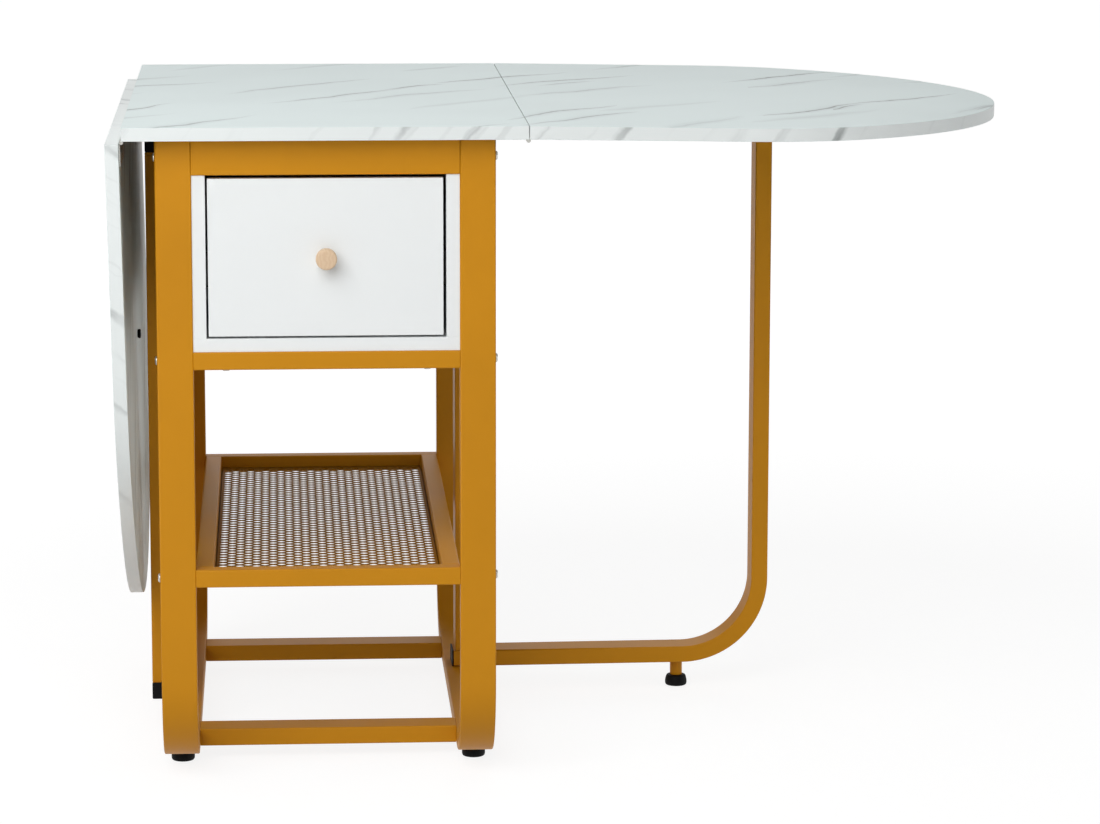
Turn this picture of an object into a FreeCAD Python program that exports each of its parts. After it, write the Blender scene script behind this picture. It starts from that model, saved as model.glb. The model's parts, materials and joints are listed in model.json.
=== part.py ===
"""Drop-leaf kitchen table with a drawer cabinet and a mesh shelf between its legs.

Units are millimetres. X runs along the table, from the hanging leaf to the raised one,
Y runs from the drawer side to the back, and Z is up from the floor.
The model is built about the cabinet's centre, then moved so that the origin is at the
middle of the whole table's footprint.
"""
import FreeCAD, Part
import math
import os

os.makedirs("parts", exist_ok=True)
V = FreeCAD.Vector
X_AXIS, Y_AXIS, Z_AXIS = V(1, 0, 0), V(0, 1, 0), V(0, 0, 1)

# ---- driving dimensions: the top -------------------------------------------------------
TABLE_HEIGHT = 750.0
BOARD = 15.0                  # thickness of every coated board
TOP_OVERHANG = 35.0           # fixed centre board beyond the legs, along X
TOP_DEPTH = 764.0             # centre board and leaves, along Y
LEAF_LENGTH = 576.0           # from the seam to the leaf's tip
LEAF_TIP_SHARE = 1.052        # radius of the leaf's tip, as a share of half the top's depth
LEAF_SHOULDER_SHARE = 0.658   # radius between a straight side and the tip, as such a share
LEAF_SEAM = 1.5               # gap between the centre board and a raised leaf
LEAF_DROOP = 0.88             # degrees that the raised leaf sags onto its gate
LEAF_LEAN = 1.1               # degrees that the hanging leaf leans in past upright

# ---- driving dimensions: steel tube and frame ------------------------------------------
TUBE_WIDE = 40.0
TUBE_THIN = 20.0
TUBE_WALL = 1.5
END_WALL = 4.0                # closed end of a bolted rail
FRAME_LENGTH = 376.5          # over the legs, along X
FRAME_DEPTH = 716.0           # over the legs, along Y
FRAME_BEND = 105.0            # outer radius where a leg turns into its floor bar
FOOT_HEIGHT = 15.0
FOOT_RADIUS = 13.5
FOOT_SPREAD = 470.0           # between front and back feet, along Y
APRON_HEIGHT = 42.0
BOX_HEIGHT = 196.0            # open height between the drawer rail and the apron
SHELF_TOP = 250.0
MESH_DROP = 14.0              # mesh below the top of the shelf rails
LOW_RAIL_SPREAD = 463.0       # over the two low rails, along Y

# ---- driving dimensions: mesh ----------------------------------------------------------
MESH_THICKNESS = 1.2
MESH_PITCH_X = 20.0
MESH_PITCH_Y = 30.0
MESH_HOLE = 7.5               # radius of a six-sided hole
MESH_BORDER = 10.0

# ---- driving dimensions: gates ---------------------------------------------------------
GATE_PIVOT_Y = 67.5           # pivot from the middle of the cabinet
GATE_PIVOT_INSET = 14.75      # pivot inside the legs' outer face
GATE_LEG_GAP = 32.5           # folded upright to the leg that it stops beside
GATE_OFFSET = 14.0            # tube centre beside the pivot
GATE_BEND = 105.0
GATE_TAIL = 15.5              # low bar behind the pivot
GATE_FOOT_HEIGHT = 14.0
GATE_STUB_RADIUS = 7.5
GATE_STUB_GAP = 2.0           # stub past the floor bar when the gate is folded
GATE_STUB_TO_BEND = 4.5       # stub's centre before the bend
GATE_OPEN_ANGLE = 91.3        # degrees from folded to the open stop
POST_BACK = 13.5              # post's face behind the pivot
POST_DROP = 4.0               # washer space over the post
PLATE_THICKNESS = 3.0
BLOCK_FRONT = 12.0            # bearing block past the pivot, towards the middle of the table
BLOCK_RISE = 22.0             # bearing block above the lower edge of the top rails
PIVOT_RADIUS = 4.0
PIVOT_LIFT = 2.5              # low pin above the bottom of the low bar
CAP_THICKNESS = 2.0           # visible part of a tube's end cap
CAP_DEPTH = 8.0               # part of the end cap inside the tube
WASHER_RADIUS = 8.0
WASHER_THICKNESS = 1.0

# ---- driving dimensions: drawer --------------------------------------------------------
PANEL_SETBACK = 2.0           # cabinet boards behind the face of the legs
DRAWER_GAP = 2.5              # around the drawer front
DRAWER_SIDE = 12.0            # thickness of the drawer's own sides
DRAWER_LENGTH = 400.0         # of the drawer's sides
DRAWER_WALL_HEIGHT = 130.0
DRAWER_FLOOR = 4.0
RUNNER_SPACE = 13.0           # between a drawer side and the cabinet side
RUNNER_HEIGHT = 40.0
RUNNER_STEEL = 1.5
KNOB_RADIUS = 12.5
KNOB_LENGTH = 22.0
KNOB_HEIGHT = 88.0            # knob's centre above the drawer front's lower edge

# ---- driving dimensions: hinges and fasteners ------------------------------------------
HINGE_LENGTH = 115.0
HINGE_WIDTH = 26.0
HINGE_PLATE = 1.5
HINGE_EDGE = 15.0             # first hinge from the board's side
KNUCKLE_RADIUS = 2.4
HINGE_PIN_RADIUS = 1.2
HINGE_DROP = 2.75             # pin centre under the boards
KNUCKLES = 5
BOLT_RADIUS = 3.0
BOLT_HEAD_RADIUS = 5.0
BOLT_HEAD = 3.0
BOLT_GRIP = 12.0              # bolt inside a rail's end
SCREW_RADIUS = 2.0
SCREW_HEAD_RADIUS = 4.2
SCREW_HEAD = 2.5
SCREW_GRIP = 10.0             # screw inside a board
SCREW_FROM_CENTRE = 112.0
BUMPER_RADIUS = 5.5
BUMPER_HEIGHT = 4.0
BUMPER_REACH = 269.0          # from the hinge pin

# ---- clearances ------------------------------------------------------------------------
FIT = 0.03                    # radial, around pins and screws held in one body
RUNNING_FIT = 0.06            # radial, around pins that turn
MOVING_GAP = 0.5              # between flat faces that move past each other
KNUCKLE_GAP = 0.4             # along the pin, between knuckles

# ---- places worked out from the dimensions ---------------------------------------------
BOARD_UNDER = TABLE_HEIGHT - BOARD
HALF_DEPTH = TOP_DEPTH / 2
LEG_OUT = FRAME_LENGTH / 2
HALF_TOP = LEG_OUT + TOP_OVERHANG
LEG_IN = LEG_OUT - TUBE_WIDE
LEG_FACE = FRAME_DEPTH / 2
LEG_BACK = LEG_FACE - TUBE_THIN
RAIL_Y = LEG_FACE - TUBE_THIN / 2
BAR_TOP = FOOT_HEIGHT + TUBE_THIN
APRON_BOTTOM = BOARD_UNDER - APRON_HEIGHT
BOX_FLOOR = APRON_BOTTOM - BOX_HEIGHT
DRAWER_RAIL_BOTTOM = BOX_FLOOR - TUBE_THIN
SHELF_BOTTOM = SHELF_TOP - TUBE_THIN
PANEL_FACE = LEG_FACE - PANEL_SETBACK
BOX_IN = LEG_IN - BOARD
SIDE_RAIL_OUT = LEG_IN + TUBE_THIN - 4.0
FOOT_X = LEG_OUT - TUBE_WIDE / 2
PIVOT_X = LEG_OUT - GATE_PIVOT_INSET
HINGE_X = HALF_TOP + LEAF_SEAM / 2
HINGE_Z = BOARD_UNDER - HINGE_DROP
GATE_BOTTOM = BAR_TOP + MOVING_GAP
GATE_LOW_TOP = GATE_BOTTOM + TUBE_THIN
GATE_REACH = LEG_BACK - GATE_LEG_GAP + GATE_PIVOT_Y
PLATE_TOP = APRON_BOTTOM - POST_DROP
POST_TOP = PLATE_TOP - PLATE_THICKNESS
UPRIGHT_X = PIVOT_X + GATE_REACH
LEAF_UNDER_AT_GATE = BOARD_UNDER - (UPRIGHT_X - HINGE_X) * math.tan(math.radians(LEAF_DROOP))
UPRIGHT_TOP = LEAF_UNDER_AT_GATE - MOVING_GAP - CAP_THICKNESS

nodes = {}


# ---- shape helpers ---------------------------------------------------------------------
def block(x0, x1, y0, y1, z0, z1):
    """Rectangular solid between two corners, given in any order."""
    low = V(min(x0, x1), min(y0, y1), min(z0, z1))
    return Part.makeBox(abs(x1 - x0), abs(y1 - y0), abs(z1 - z0), low)


def rod(radius, start, end):
    """Cylinder from one point to another."""
    run = end - start
    return Part.makeCylinder(radius, run.Length, start, run)


def rounded_edges(points, radius):
    """Lines along the points, with a tangent arc of the radius at each inner point."""
    edges = []
    start = points[0]
    for corner, after in zip(points[1:-1], points[2:]):
        arrive = (corner - start).normalize()
        leave = (after - corner).normalize()
        turn = arrive.getAngle(leave)
        trim = radius * math.tan(turn / 2)
        first = corner - arrive * trim
        last = corner + leave * trim
        inward = (leave - arrive).normalize()
        middle = corner + inward * (radius / math.cos(turn / 2) - radius)
        edges.append(Part.LineSegment(start, first).toShape())
        edges.append(Part.Arc(first, middle, last).toShape())
        start = last
    edges.append(Part.LineSegment(start, points[-1]).toShape())
    return edges


def bent_strip(outer, inner, outer_radius, inner_radius, sweep):
    """Flat bar bent in its own plane: outer and inner sides, then its width."""
    edges = rounded_edges(outer, outer_radius) + rounded_edges(inner, inner_radius)
    edges.append(Part.LineSegment(outer[0], inner[0]).toShape())
    edges.append(Part.LineSegment(outer[-1], inner[-1]).toShape())
    wire = Part.Wire(Part.__sortEdges__(edges))
    return Part.Face(wire).extrude(sweep)


def square_tube(x0, x1, y0, y1, z0, z1, axis):
    """Open rectangular tube along the axis named by a letter."""
    wall = {"x": (0, TUBE_WALL, TUBE_WALL), "y": (TUBE_WALL, 0, TUBE_WALL),
            "z": (TUBE_WALL, TUBE_WALL, 0)}[axis]
    inside = block(x0 + wall[0], x1 - wall[0], y0 + wall[1], y1 - wall[1],
                   z0 + wall[2], z1 - wall[2])
    return block(x0, x1, y0, y1, z0, z1).cut(inside)


def closed_rail(y_middle, z0, z1):
    """Rail between the legs, along X, with end walls bored for the frame bolts."""
    y0, y1 = y_middle - TUBE_THIN / 2, y_middle + TUBE_THIN / 2
    rail = block(-LEG_IN, LEG_IN, y0, y1, z0, z1)
    hollow = block(-LEG_IN + END_WALL, LEG_IN - END_WALL, y0 + TUBE_WALL, y1 - TUBE_WALL,
                   z0 + TUBE_WALL, z1 - TUBE_WALL)
    z_middle = (z0 + z1) / 2
    bore = rod(BOLT_RADIUS + FIT, V(-LEG_IN - 1, y_middle, z_middle), V(LEG_IN + 1, y_middle, z_middle))
    return rail.cut([hollow, bore])


def turned(profile, place, axis_direction):
    """Solid of revolution: (radius, height) points, set at a place along a direction."""
    points = [V(radius, 0, height) for radius, height in profile]
    face = Part.Face(Part.makePolygon(points + points[:1]))
    solid = face.revolve(V(0, 0, 0), Z_AXIS, 360)
    placement = FreeCAD.Placement(place, FreeCAD.Rotation(Z_AXIS, axis_direction))
    return solid.transformShape(placement.toMatrix())


def dome_head_screw(place, out, head_radius, head, shank_radius, shank):
    """Screw whose head stands out from the place and whose shank goes in."""
    profile = [(0, -shank), (shank_radius, -shank), (shank_radius, 0), (head_radius, 0),
               (head_radius, head * 0.4), (head_radius * 0.7, head * 0.85), (0, head)]
    return turned(profile, place, out)


def group(solids):
    """Several separate solids kept in one node."""
    return Part.Compound(solids)


# ---- bolts that hold the rails to the legs ----------------------------------------------
BOLT_LEVELS = [(APRON_BOTTOM + BOARD_UNDER) / 2, BOX_FLOOR - TUBE_THIN / 2, SHELF_TOP - TUBE_THIN / 2]


def bolt_places():
    """Every frame bolt as its side (-1 left, 1 right) and its y and z."""
    return [(side, y, z) for side in (-1, 1) for y in (-RAIL_Y, RAIL_Y) for z in BOLT_LEVELS]


def frame_bolts():
    bolts = []
    for side, y, z in bolt_places():
        shank = TUBE_WIDE + BOLT_GRIP
        bolts.append(dome_head_screw(V(side * LEG_OUT, y, z), X_AXIS * side,
                                     BOLT_HEAD_RADIUS, BOLT_HEAD, BOLT_RADIUS, shank))
    nodes["frame_bolts"] = group(bolts)


# ---- steel frame ------------------------------------------------------------------------
def side_frame(side):
    """Two legs and the floor bar, bent from one tube into a U."""
    def half(width, base, top, wall):
        corner = LEG_FACE - wall
        return [V(0, -corner, top), V(0, -corner, base), V(0, corner, base), V(0, corner, top)]

    thick_in = TUBE_THIN - TUBE_WALL
    outer = half(0, FOOT_HEIGHT, BOARD_UNDER, 0)
    inner = half(0, BAR_TOP, BOARD_UNDER, TUBE_THIN)
    solid = bent_strip(outer, inner, FRAME_BEND, FRAME_BEND - TUBE_THIN, X_AXIS * TUBE_WIDE)
    void_outer = half(0, FOOT_HEIGHT + TUBE_WALL, BOARD_UNDER, TUBE_WALL)
    void_inner = half(0, FOOT_HEIGHT + thick_in, BOARD_UNDER, thick_in)
    void = bent_strip(void_outer, void_inner, FRAME_BEND - TUBE_WALL, FRAME_BEND - thick_in,
                      X_AXIS * (TUBE_WIDE - 2 * TUBE_WALL))
    void.translate(X_AXIS * TUBE_WALL)
    frame = solid.cut(void)
    frame.translate(X_AXIS * (LEG_IN if side > 0 else -LEG_OUT))
    bores = [rod(BOLT_RADIUS + FIT, V(side * (LEG_IN - 1), y, z), V(side * (LEG_OUT + 1), y, z))
             for bolt_side, y, z in bolt_places() if bolt_side == side]
    pin = rod(PIVOT_RADIUS + FIT, V(side * PIVOT_X, side * GATE_PIVOT_Y, FOOT_HEIGHT + TUBE_THIN / 2),
              V(side * PIVOT_X, side * GATE_PIVOT_Y, BAR_TOP + 1))
    return frame.cut(bores + [pin])


def frame():
    for side, name in ((-1, "left"), (1, "right")):
        nodes["side_frame_" + name] = side_frame(side)
        rail = square_tube(LEG_IN - 4.0, SIDE_RAIL_OUT, -LEG_BACK, LEG_BACK,
                           APRON_BOTTOM, BOARD_UNDER, "y")
        if side < 0:
            rail = rail.mirror(V(0, 0, 0), X_AXIS)
        nodes["top_side_rail_" + name] = rail
    for side, name in ((-1, "front"), (1, "back")):
        nodes["apron_" + name] = closed_rail(side * RAIL_Y, APRON_BOTTOM, BOARD_UNDER)
        drawer_rail = closed_rail(side * RAIL_Y, DRAWER_RAIL_BOTTOM, BOX_FLOOR)
        nodes["drawer_rail_" + name] = drawer_rail.cut(screw_bores(side))
        nodes["shelf_rail_" + name] = closed_rail(side * RAIL_Y, SHELF_BOTTOM, SHELF_TOP)
        outer_y = side * LOW_RAIL_SPREAD / 2
        inner_y = outer_y - side * TUBE_WIDE
        nodes["low_rail_" + name] = square_tube(-LEG_IN, LEG_IN, min(outer_y, inner_y),
                                                max(outer_y, inner_y), FOOT_HEIGHT, BAR_TOP, "x")


def feet():
    """Round plastic feet under the floor bars."""
    plug = FOOT_RADIUS * 0.5
    profile = [(0, 0), (FOOT_RADIUS * 0.85, 0), (FOOT_RADIUS, FOOT_HEIGHT * 0.2),
               (FOOT_RADIUS, FOOT_HEIGHT * 0.8), (FOOT_RADIUS * 0.9, FOOT_HEIGHT),
               (plug, FOOT_HEIGHT), (0, FOOT_HEIGHT)]
    for x_side, x_name in ((-1, "left"), (1, "right")):
        for y_side, y_name in ((-1, "front"), (1, "back")):
            place = V(x_side * FOOT_X, y_side * FOOT_SPREAD / 2, 0)
            nodes["foot_" + y_name + "_" + x_name] = turned(profile, place, Z_AXIS)


# ---- shelf ------------------------------------------------------------------------------
def shelf():
    """Two side rails between the cross rails, and the punched sheet they carry."""
    for side, name in ((-1, "left"), (1, "right")):
        x0, x1 = sorted((side * LEG_IN, side * (LEG_IN - TUBE_THIN)))
        nodes["shelf_side_" + name] = square_tube(x0, x1, -LEG_BACK, LEG_BACK,
                                                  SHELF_BOTTOM, SHELF_TOP, "y")
    half_x = LEG_IN - TUBE_THIN
    half_y = LEG_BACK
    mesh_top = SHELF_TOP - MESH_DROP
    sheet = block(-half_x, half_x, -half_y, half_y, mesh_top - MESH_THICKNESS, mesh_top)
    nodes["shelf_mesh"] = sheet.cut(mesh_holes(half_x, half_y, mesh_top))


def mesh_holes(half_x, half_y, mesh_top):
    """Six-sided holes in columns, every other column half a pitch further on."""
    holes = []
    corners = [V(MESH_HOLE * math.cos(math.radians(60 * k)), MESH_HOLE * math.sin(math.radians(60 * k)),
                 mesh_top - MESH_THICKNESS - 1) for k in range(6)]
    punch = Part.Face(Part.makePolygon(corners + corners[:1])).extrude(Z_AXIS * (MESH_THICKNESS + 2))
    columns = int((half_x - MESH_BORDER) // MESH_PITCH_X)
    rows = int((half_y - MESH_BORDER - MESH_PITCH_Y / 2) // MESH_PITCH_Y)
    for column in range(-columns, columns + 1):
        shift = MESH_PITCH_Y / 2 if column % 2 else 0.0
        for row in range(-rows, rows + 1):
            hole = punch.copy()
            hole.translate(V(column * MESH_PITCH_X, row * MESH_PITCH_Y + shift, 0))
            holes.append(hole)
    return holes


# ---- cabinet ----------------------------------------------------------------------------
def screw_places(side):
    return [(x, side * RAIL_Y) for x in (-SCREW_FROM_CENTRE, SCREW_FROM_CENTRE)]


def screw_bores(side):
    top = BOX_FLOOR + SCREW_GRIP + 0.5
    return [rod(SCREW_RADIUS + FIT, V(x, y, DRAWER_RAIL_BOTTOM - 1), V(x, y, top))
            for x, y in screw_places(side)]


def cabinet():
    """Boards round the drawer, screwed down onto the drawer rails."""
    floor_top = BOX_FLOOR + BOARD
    floor = block(-LEG_IN, LEG_IN, -PANEL_FACE, PANEL_FACE, BOX_FLOOR, floor_top)
    nodes["cabinet_floor"] = floor.cut(screw_bores(-1) + screw_bores(1))
    for side, name in ((-1, "left"), (1, "right")):
        nodes["cabinet_side_" + name] = block(side * BOX_IN, side * LEG_IN, -PANEL_FACE, PANEL_FACE,
                                              floor_top, APRON_BOTTOM)
    nodes["cabinet_back"] = block(-BOX_IN, BOX_IN, PANEL_FACE - BOARD, PANEL_FACE, floor_top, APRON_BOTTOM)
    screws = [dome_head_screw(V(x, y, DRAWER_RAIL_BOTTOM), -Z_AXIS, SCREW_HEAD_RADIUS, SCREW_HEAD,
                              SCREW_RADIUS, TUBE_THIN + SCREW_GRIP)
              for side in (-1, 1) for x, y in screw_places(side)]
    nodes["rail_screws"] = group(screws)


# ---- drawer -----------------------------------------------------------------------------
DRAWER_BOTTOM = BOX_FLOOR + BOARD + DRAWER_GAP
FRONT_BACK = -PANEL_FACE + BOARD
WALL_OUT = BOX_IN - RUNNER_SPACE
WALL_IN = WALL_OUT - DRAWER_SIDE
WALL_BOTTOM = DRAWER_BOTTOM + 8.0
WALL_TOP = WALL_BOTTOM + DRAWER_WALL_HEIGHT
DRAWER_END = FRONT_BACK + DRAWER_LENGTH
RUNNER_BOTTOM = (WALL_BOTTOM + WALL_TOP) / 2 - RUNNER_HEIGHT / 2


def drawer():
    half = BOX_IN - DRAWER_GAP
    front = block(-half, half, -PANEL_FACE, FRONT_BACK, DRAWER_BOTTOM, APRON_BOTTOM - DRAWER_GAP)
    knob_z = DRAWER_BOTTOM + KNOB_HEIGHT
    bore = rod(SCREW_RADIUS + FIT, V(0, -PANEL_FACE - 1, knob_z), V(0, FRONT_BACK + 1, knob_z))
    nodes["drawer_front"] = front.cut(bore)
    for side, name in ((-1, "left"), (1, "right")):
        nodes["drawer_side_" + name] = block(side * WALL_IN, side * WALL_OUT, FRONT_BACK, DRAWER_END,
                                             WALL_BOTTOM, WALL_TOP)
    nodes["drawer_back"] = block(-WALL_IN, WALL_IN, DRAWER_END - DRAWER_SIDE, DRAWER_END,
                                 WALL_BOTTOM, WALL_TOP)
    nodes["drawer_floor"] = block(-WALL_IN, WALL_IN, FRONT_BACK, DRAWER_END - DRAWER_SIDE,
                                  WALL_BOTTOM + DRAWER_FLOOR, WALL_BOTTOM + 2 * DRAWER_FLOOR)
    knob(knob_z)
    runners()


def knob(z):
    """Turned wooden knob and the screw that holds it from inside the drawer."""
    neck, edge = KNOB_RADIUS * 0.6, KNOB_LENGTH * 0.12
    bore_depth = SCREW_GRIP + 1
    profile = [(SCREW_RADIUS + FIT, 0), (neck, 0), (neck * 1.05, KNOB_LENGTH * 0.2),
               (KNOB_RADIUS - edge, KNOB_LENGTH * 0.42), (KNOB_RADIUS, KNOB_LENGTH * 0.55),
               (KNOB_RADIUS, KNOB_LENGTH - edge), (KNOB_RADIUS - edge * 0.8, KNOB_LENGTH),
               (0, KNOB_LENGTH), (0, bore_depth), (SCREW_RADIUS + FIT, bore_depth)]
    nodes["drawer_knob"] = turned(profile, V(0, -PANEL_FACE, z), -Y_AXIS)
    nodes["knob_screw"] = dome_head_screw(V(0, FRONT_BACK, z), Y_AXIS, SCREW_HEAD_RADIUS, SCREW_HEAD,
                                          SCREW_RADIUS, BOARD + SCREW_GRIP)


def runners():
    """Steel channel on each cabinet side, and the bar on the drawer that slides in it."""
    low, high = RUNNER_BOTTOM, RUNNER_BOTTOM + RUNNER_HEIGHT
    channels, bars = [], []
    for side in (-1, 1):
        lip = WALL_OUT + MOVING_GAP
        channel = block(side * lip, side * BOX_IN, FRONT_BACK + MOVING_GAP, DRAWER_END, low, high)
        groove = block(side * (lip - 1), side * (BOX_IN - RUNNER_STEEL), FRONT_BACK - 1, DRAWER_END + 1,
                       low + RUNNER_STEEL, high - RUNNER_STEEL)
        channels.append(channel.cut(groove))
        inset = RUNNER_STEEL + MOVING_GAP
        bars.append(block(side * WALL_OUT, side * (BOX_IN - inset), FRONT_BACK + MOVING_GAP, DRAWER_END,
                          low + inset, high - inset))
    nodes["runner_channels"] = group(channels)
    nodes["runner_bars"] = group(bars)


# ---- leaves and hinges ------------------------------------------------------------------
def leaf_board():
    """Raised level leaf on the right: straight sides, two shoulders and a broad tip."""
    edge_x = HINGE_X + LEAF_SEAM / 2
    tip_radius, shoulder_radius = LEAF_TIP_SHARE * HALF_DEPTH, LEAF_SHOULDER_SHARE * HALF_DEPTH
    tip_centre = HALF_TOP + LEAF_LENGTH - tip_radius
    rise = tip_radius - shoulder_radius
    side_step = HALF_DEPTH - shoulder_radius
    shoulder_x = tip_centre + math.sqrt(rise ** 2 - side_step ** 2)
    swing = math.atan2(side_step, shoulder_x - tip_centre)
    z = BOARD_UNDER

    def shoulder(angle, sign):
        return V(shoulder_x + shoulder_radius * math.cos(angle),
                 sign * (side_step + shoulder_radius * math.sin(angle)), z)

    def tip(angle):
        return V(tip_centre + tip_radius * math.cos(angle), tip_radius * math.sin(angle), z)

    quarter = math.pi / 2
    edges = [Part.LineSegment(V(edge_x, HALF_DEPTH, z), V(edge_x, -HALF_DEPTH, z))]
    for sign in (-1, 1):
        edges.append(Part.LineSegment(V(edge_x, sign * HALF_DEPTH, z), shoulder(quarter, sign)))
        edges.append(Part.Arc(shoulder(quarter, sign), shoulder((quarter + swing) / 2, sign),
                              shoulder(swing, sign)))
        edges.append(Part.Arc(tip(sign * swing), tip(sign * swing / 2), tip(0)))
    wire = Part.Wire(Part.__sortEdges__([edge.toShape() for edge in edges]))
    return Part.Face(wire).extrude(Z_AXIS * BOARD)


def hinge_spans():
    """Y range of each hinge along a seam."""
    first = -HALF_DEPTH + HINGE_EDGE
    last = HALF_DEPTH - HINGE_EDGE - HINGE_LENGTH
    starts = [first, (first + last) / 2, last]
    return [(start, start + HINGE_LENGTH) for start in starts]


def hinge_half(moving):
    """Plates and knuckles of the right seam, for one side of the hinges."""
    solids = []
    pitch = HINGE_LENGTH / KNUCKLES
    direction = 1 if moving else -1
    for start, end in hinge_spans():
        z0 = BOARD_UNDER - HINGE_PLATE
        plate = block(HINGE_X + direction * (KNUCKLE_RADIUS + MOVING_GAP),
                      HINGE_X + direction * HINGE_WIDTH, start, end, z0, BOARD_UNDER)
        own = [k for k in range(KNUCKLES) if k % 2 == (1 if moving else 0)]
        for k in own:
            y0 = start + k * pitch + (KNUCKLE_GAP if k else 0)
            y1 = start + (k + 1) * pitch - (KNUCKLE_GAP if k < KNUCKLES - 1 else 0)
            barrel = rod(KNUCKLE_RADIUS, V(HINGE_X, y0, HINGE_Z), V(HINGE_X, y1, HINGE_Z))
            tab = block(HINGE_X + direction * KNUCKLE_RADIUS * 0.3,
                        HINGE_X + direction * (KNUCKLE_RADIUS + 2), y0, y1, z0, BOARD_UNDER - HINGE_PLATE / 2)
            plate = plate.fuse([barrel, tab])
        play = RUNNING_FIT if moving else FIT
        bore = rod(HINGE_PIN_RADIUS + play, V(HINGE_X, start - 1, HINGE_Z), V(HINGE_X, end + 1, HINGE_Z))
        solids.append(plate.removeSplitter().cut(bore))
    return group(solids)


def hinge_pins():
    return group([rod(HINGE_PIN_RADIUS, V(HINGE_X, start, HINGE_Z), V(HINGE_X, end, HINGE_Z))
                  for start, end in hinge_spans()])


def bumper():
    """Soft button under the leaf."""
    place = V(HINGE_X + BUMPER_REACH, 0, BOARD_UNDER)
    profile = [(0, 0), (BUMPER_RADIUS, 0), (BUMPER_RADIUS, BUMPER_HEIGHT * 0.6),
               (BUMPER_RADIUS * 0.7, BUMPER_HEIGHT), (0, BUMPER_HEIGHT)]
    return turned(profile, place, -Z_AXIS)


def swing_leaf(shape, angle):
    """Turn a leaf's piece down about the right hinge line."""
    moved = shape.copy()
    moved.rotate(V(HINGE_X, 0, HINGE_Z), Y_AXIS, angle)
    return moved


def top():
    """Centre board, both leaves and their hinges: right one raised, left one hanging."""
    nodes["centre_top"] = block(-HALF_TOP, HALF_TOP, -HALF_DEPTH, HALF_DEPTH, BOARD_UNDER, TABLE_HEIGHT)
    moving = {"leaf": leaf_board(), "hinge_leaf_plates": hinge_half(True), "leaf_bumper": bumper()}
    still = {"hinge_top_plates": hinge_half(False), "hinge_pins": hinge_pins()}
    for name, shape in moving.items():
        nodes[name + "_right"] = swing_leaf(shape, LEAF_DROOP)
        hanging = swing_leaf(shape, 90 + LEAF_LEAN)
        nodes[name + "_left"] = hanging.mirror(V(0, 0, 0), X_AXIS)
    for name, shape in still.items():
        nodes[name] = group(shape.Solids + shape.mirror(V(0, 0, 0), X_AXIS).Solids)


# ---- gates ------------------------------------------------------------------------------
# A gate is drawn with its pivot on the Z axis, reaching out along X, its tube beside the
# pivot on the +Y side.
TUBE_NEAR = GATE_OFFSET - TUBE_WIDE / 2
TUBE_FAR = GATE_OFFSET + TUBE_WIDE / 2
STUB_X = GATE_REACH - GATE_BEND - GATE_STUB_TO_BEND
STUB_Y = GATE_PIVOT_INSET + GATE_STUB_RADIUS + GATE_STUB_GAP


def pivot_bore(z0, z1):
    """Running bore on the pivot, in a piece of the gate."""
    return rod(PIVOT_RADIUS + RUNNING_FIT, V(0, 0, z0), V(0, 0, z1))


def gate_loop():
    """Low bar and upright, bent from one tube, bored for the low pivot pin."""
    def side(inset):
        low = GATE_BOTTOM + inset
        return [V(-GATE_TAIL, 0, low), V(GATE_REACH - inset, 0, low), V(GATE_REACH - inset, 0, UPRIGHT_TOP)]

    def tube(first, last, width):
        return bent_strip(side(first), side(last), GATE_BEND - first, GATE_BEND - last, Y_AXIS * width)

    solid = tube(0, TUBE_THIN, TUBE_WIDE)
    void = tube(TUBE_WALL, TUBE_THIN - TUBE_WALL, TUBE_WIDE - 2 * TUBE_WALL)
    void.translate(Y_AXIS * TUBE_WALL)
    loop = solid.cut(void)
    loop.translate(Y_AXIS * TUBE_NEAR)
    return loop.cut(pivot_bore(GATE_BOTTOM - 1, GATE_BOTTOM + TUBE_THIN / 2))


def gate_post():
    return square_tube(-POST_BACK, TUBE_THIN - POST_BACK, TUBE_NEAR, TUBE_FAR, GATE_LOW_TOP, POST_TOP, "z")


def gate_plate():
    """Plate that closes the post's top and turns on the upper pivot pin."""
    plate = block(-POST_BACK, TUBE_THIN - POST_BACK, TUBE_NEAR, TUBE_FAR, POST_TOP, PLATE_TOP)
    return plate.cut(pivot_bore(POST_TOP - 1, PLATE_TOP + 1))


def end_cap(into, out):
    """Plastic cap on a tube end: a flange outside and a plug inside, both as boxes."""
    return block(*out).fuse(block(*into)).removeSplitter()


def gate_caps():
    inside = TUBE_WALL + FIT
    y0, y1 = TUBE_NEAR, TUBE_FAR
    low = end_cap((-GATE_TAIL - CAP_THICKNESS / 2, -GATE_TAIL + CAP_DEPTH, y0 + inside, y1 - inside,
                   GATE_BOTTOM + inside, GATE_LOW_TOP - inside),
                  (-GATE_TAIL - CAP_THICKNESS, -GATE_TAIL, y0, y1, GATE_BOTTOM, GATE_LOW_TOP))
    x0, x1 = GATE_REACH - TUBE_THIN, GATE_REACH
    high = end_cap((x0 + inside, x1 - inside, y0 + inside, y1 - inside,
                    UPRIGHT_TOP - CAP_DEPTH, UPRIGHT_TOP + CAP_THICKNESS / 2),
                   (x0, x1, y0, y1, UPRIGHT_TOP, UPRIGHT_TOP + CAP_THICKNESS))
    return group([low, high])


def gate_foot():
    """Rubber foot pushed on the end of the stub."""
    radius, height = FOOT_RADIUS, GATE_FOOT_HEIGHT
    profile = [(0, 0), (radius * 0.8, 0), (radius, height * 0.25), (radius, height * 0.55),
               (radius * 0.85, height), (0, height)]
    return turned(profile, V(STUB_X, STUB_Y, 0), Z_AXIS)


def gate_stub():
    return rod(GATE_STUB_RADIUS, V(STUB_X, STUB_Y, GATE_FOOT_HEIGHT), V(STUB_X, STUB_Y, GATE_BOTTOM))


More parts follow.
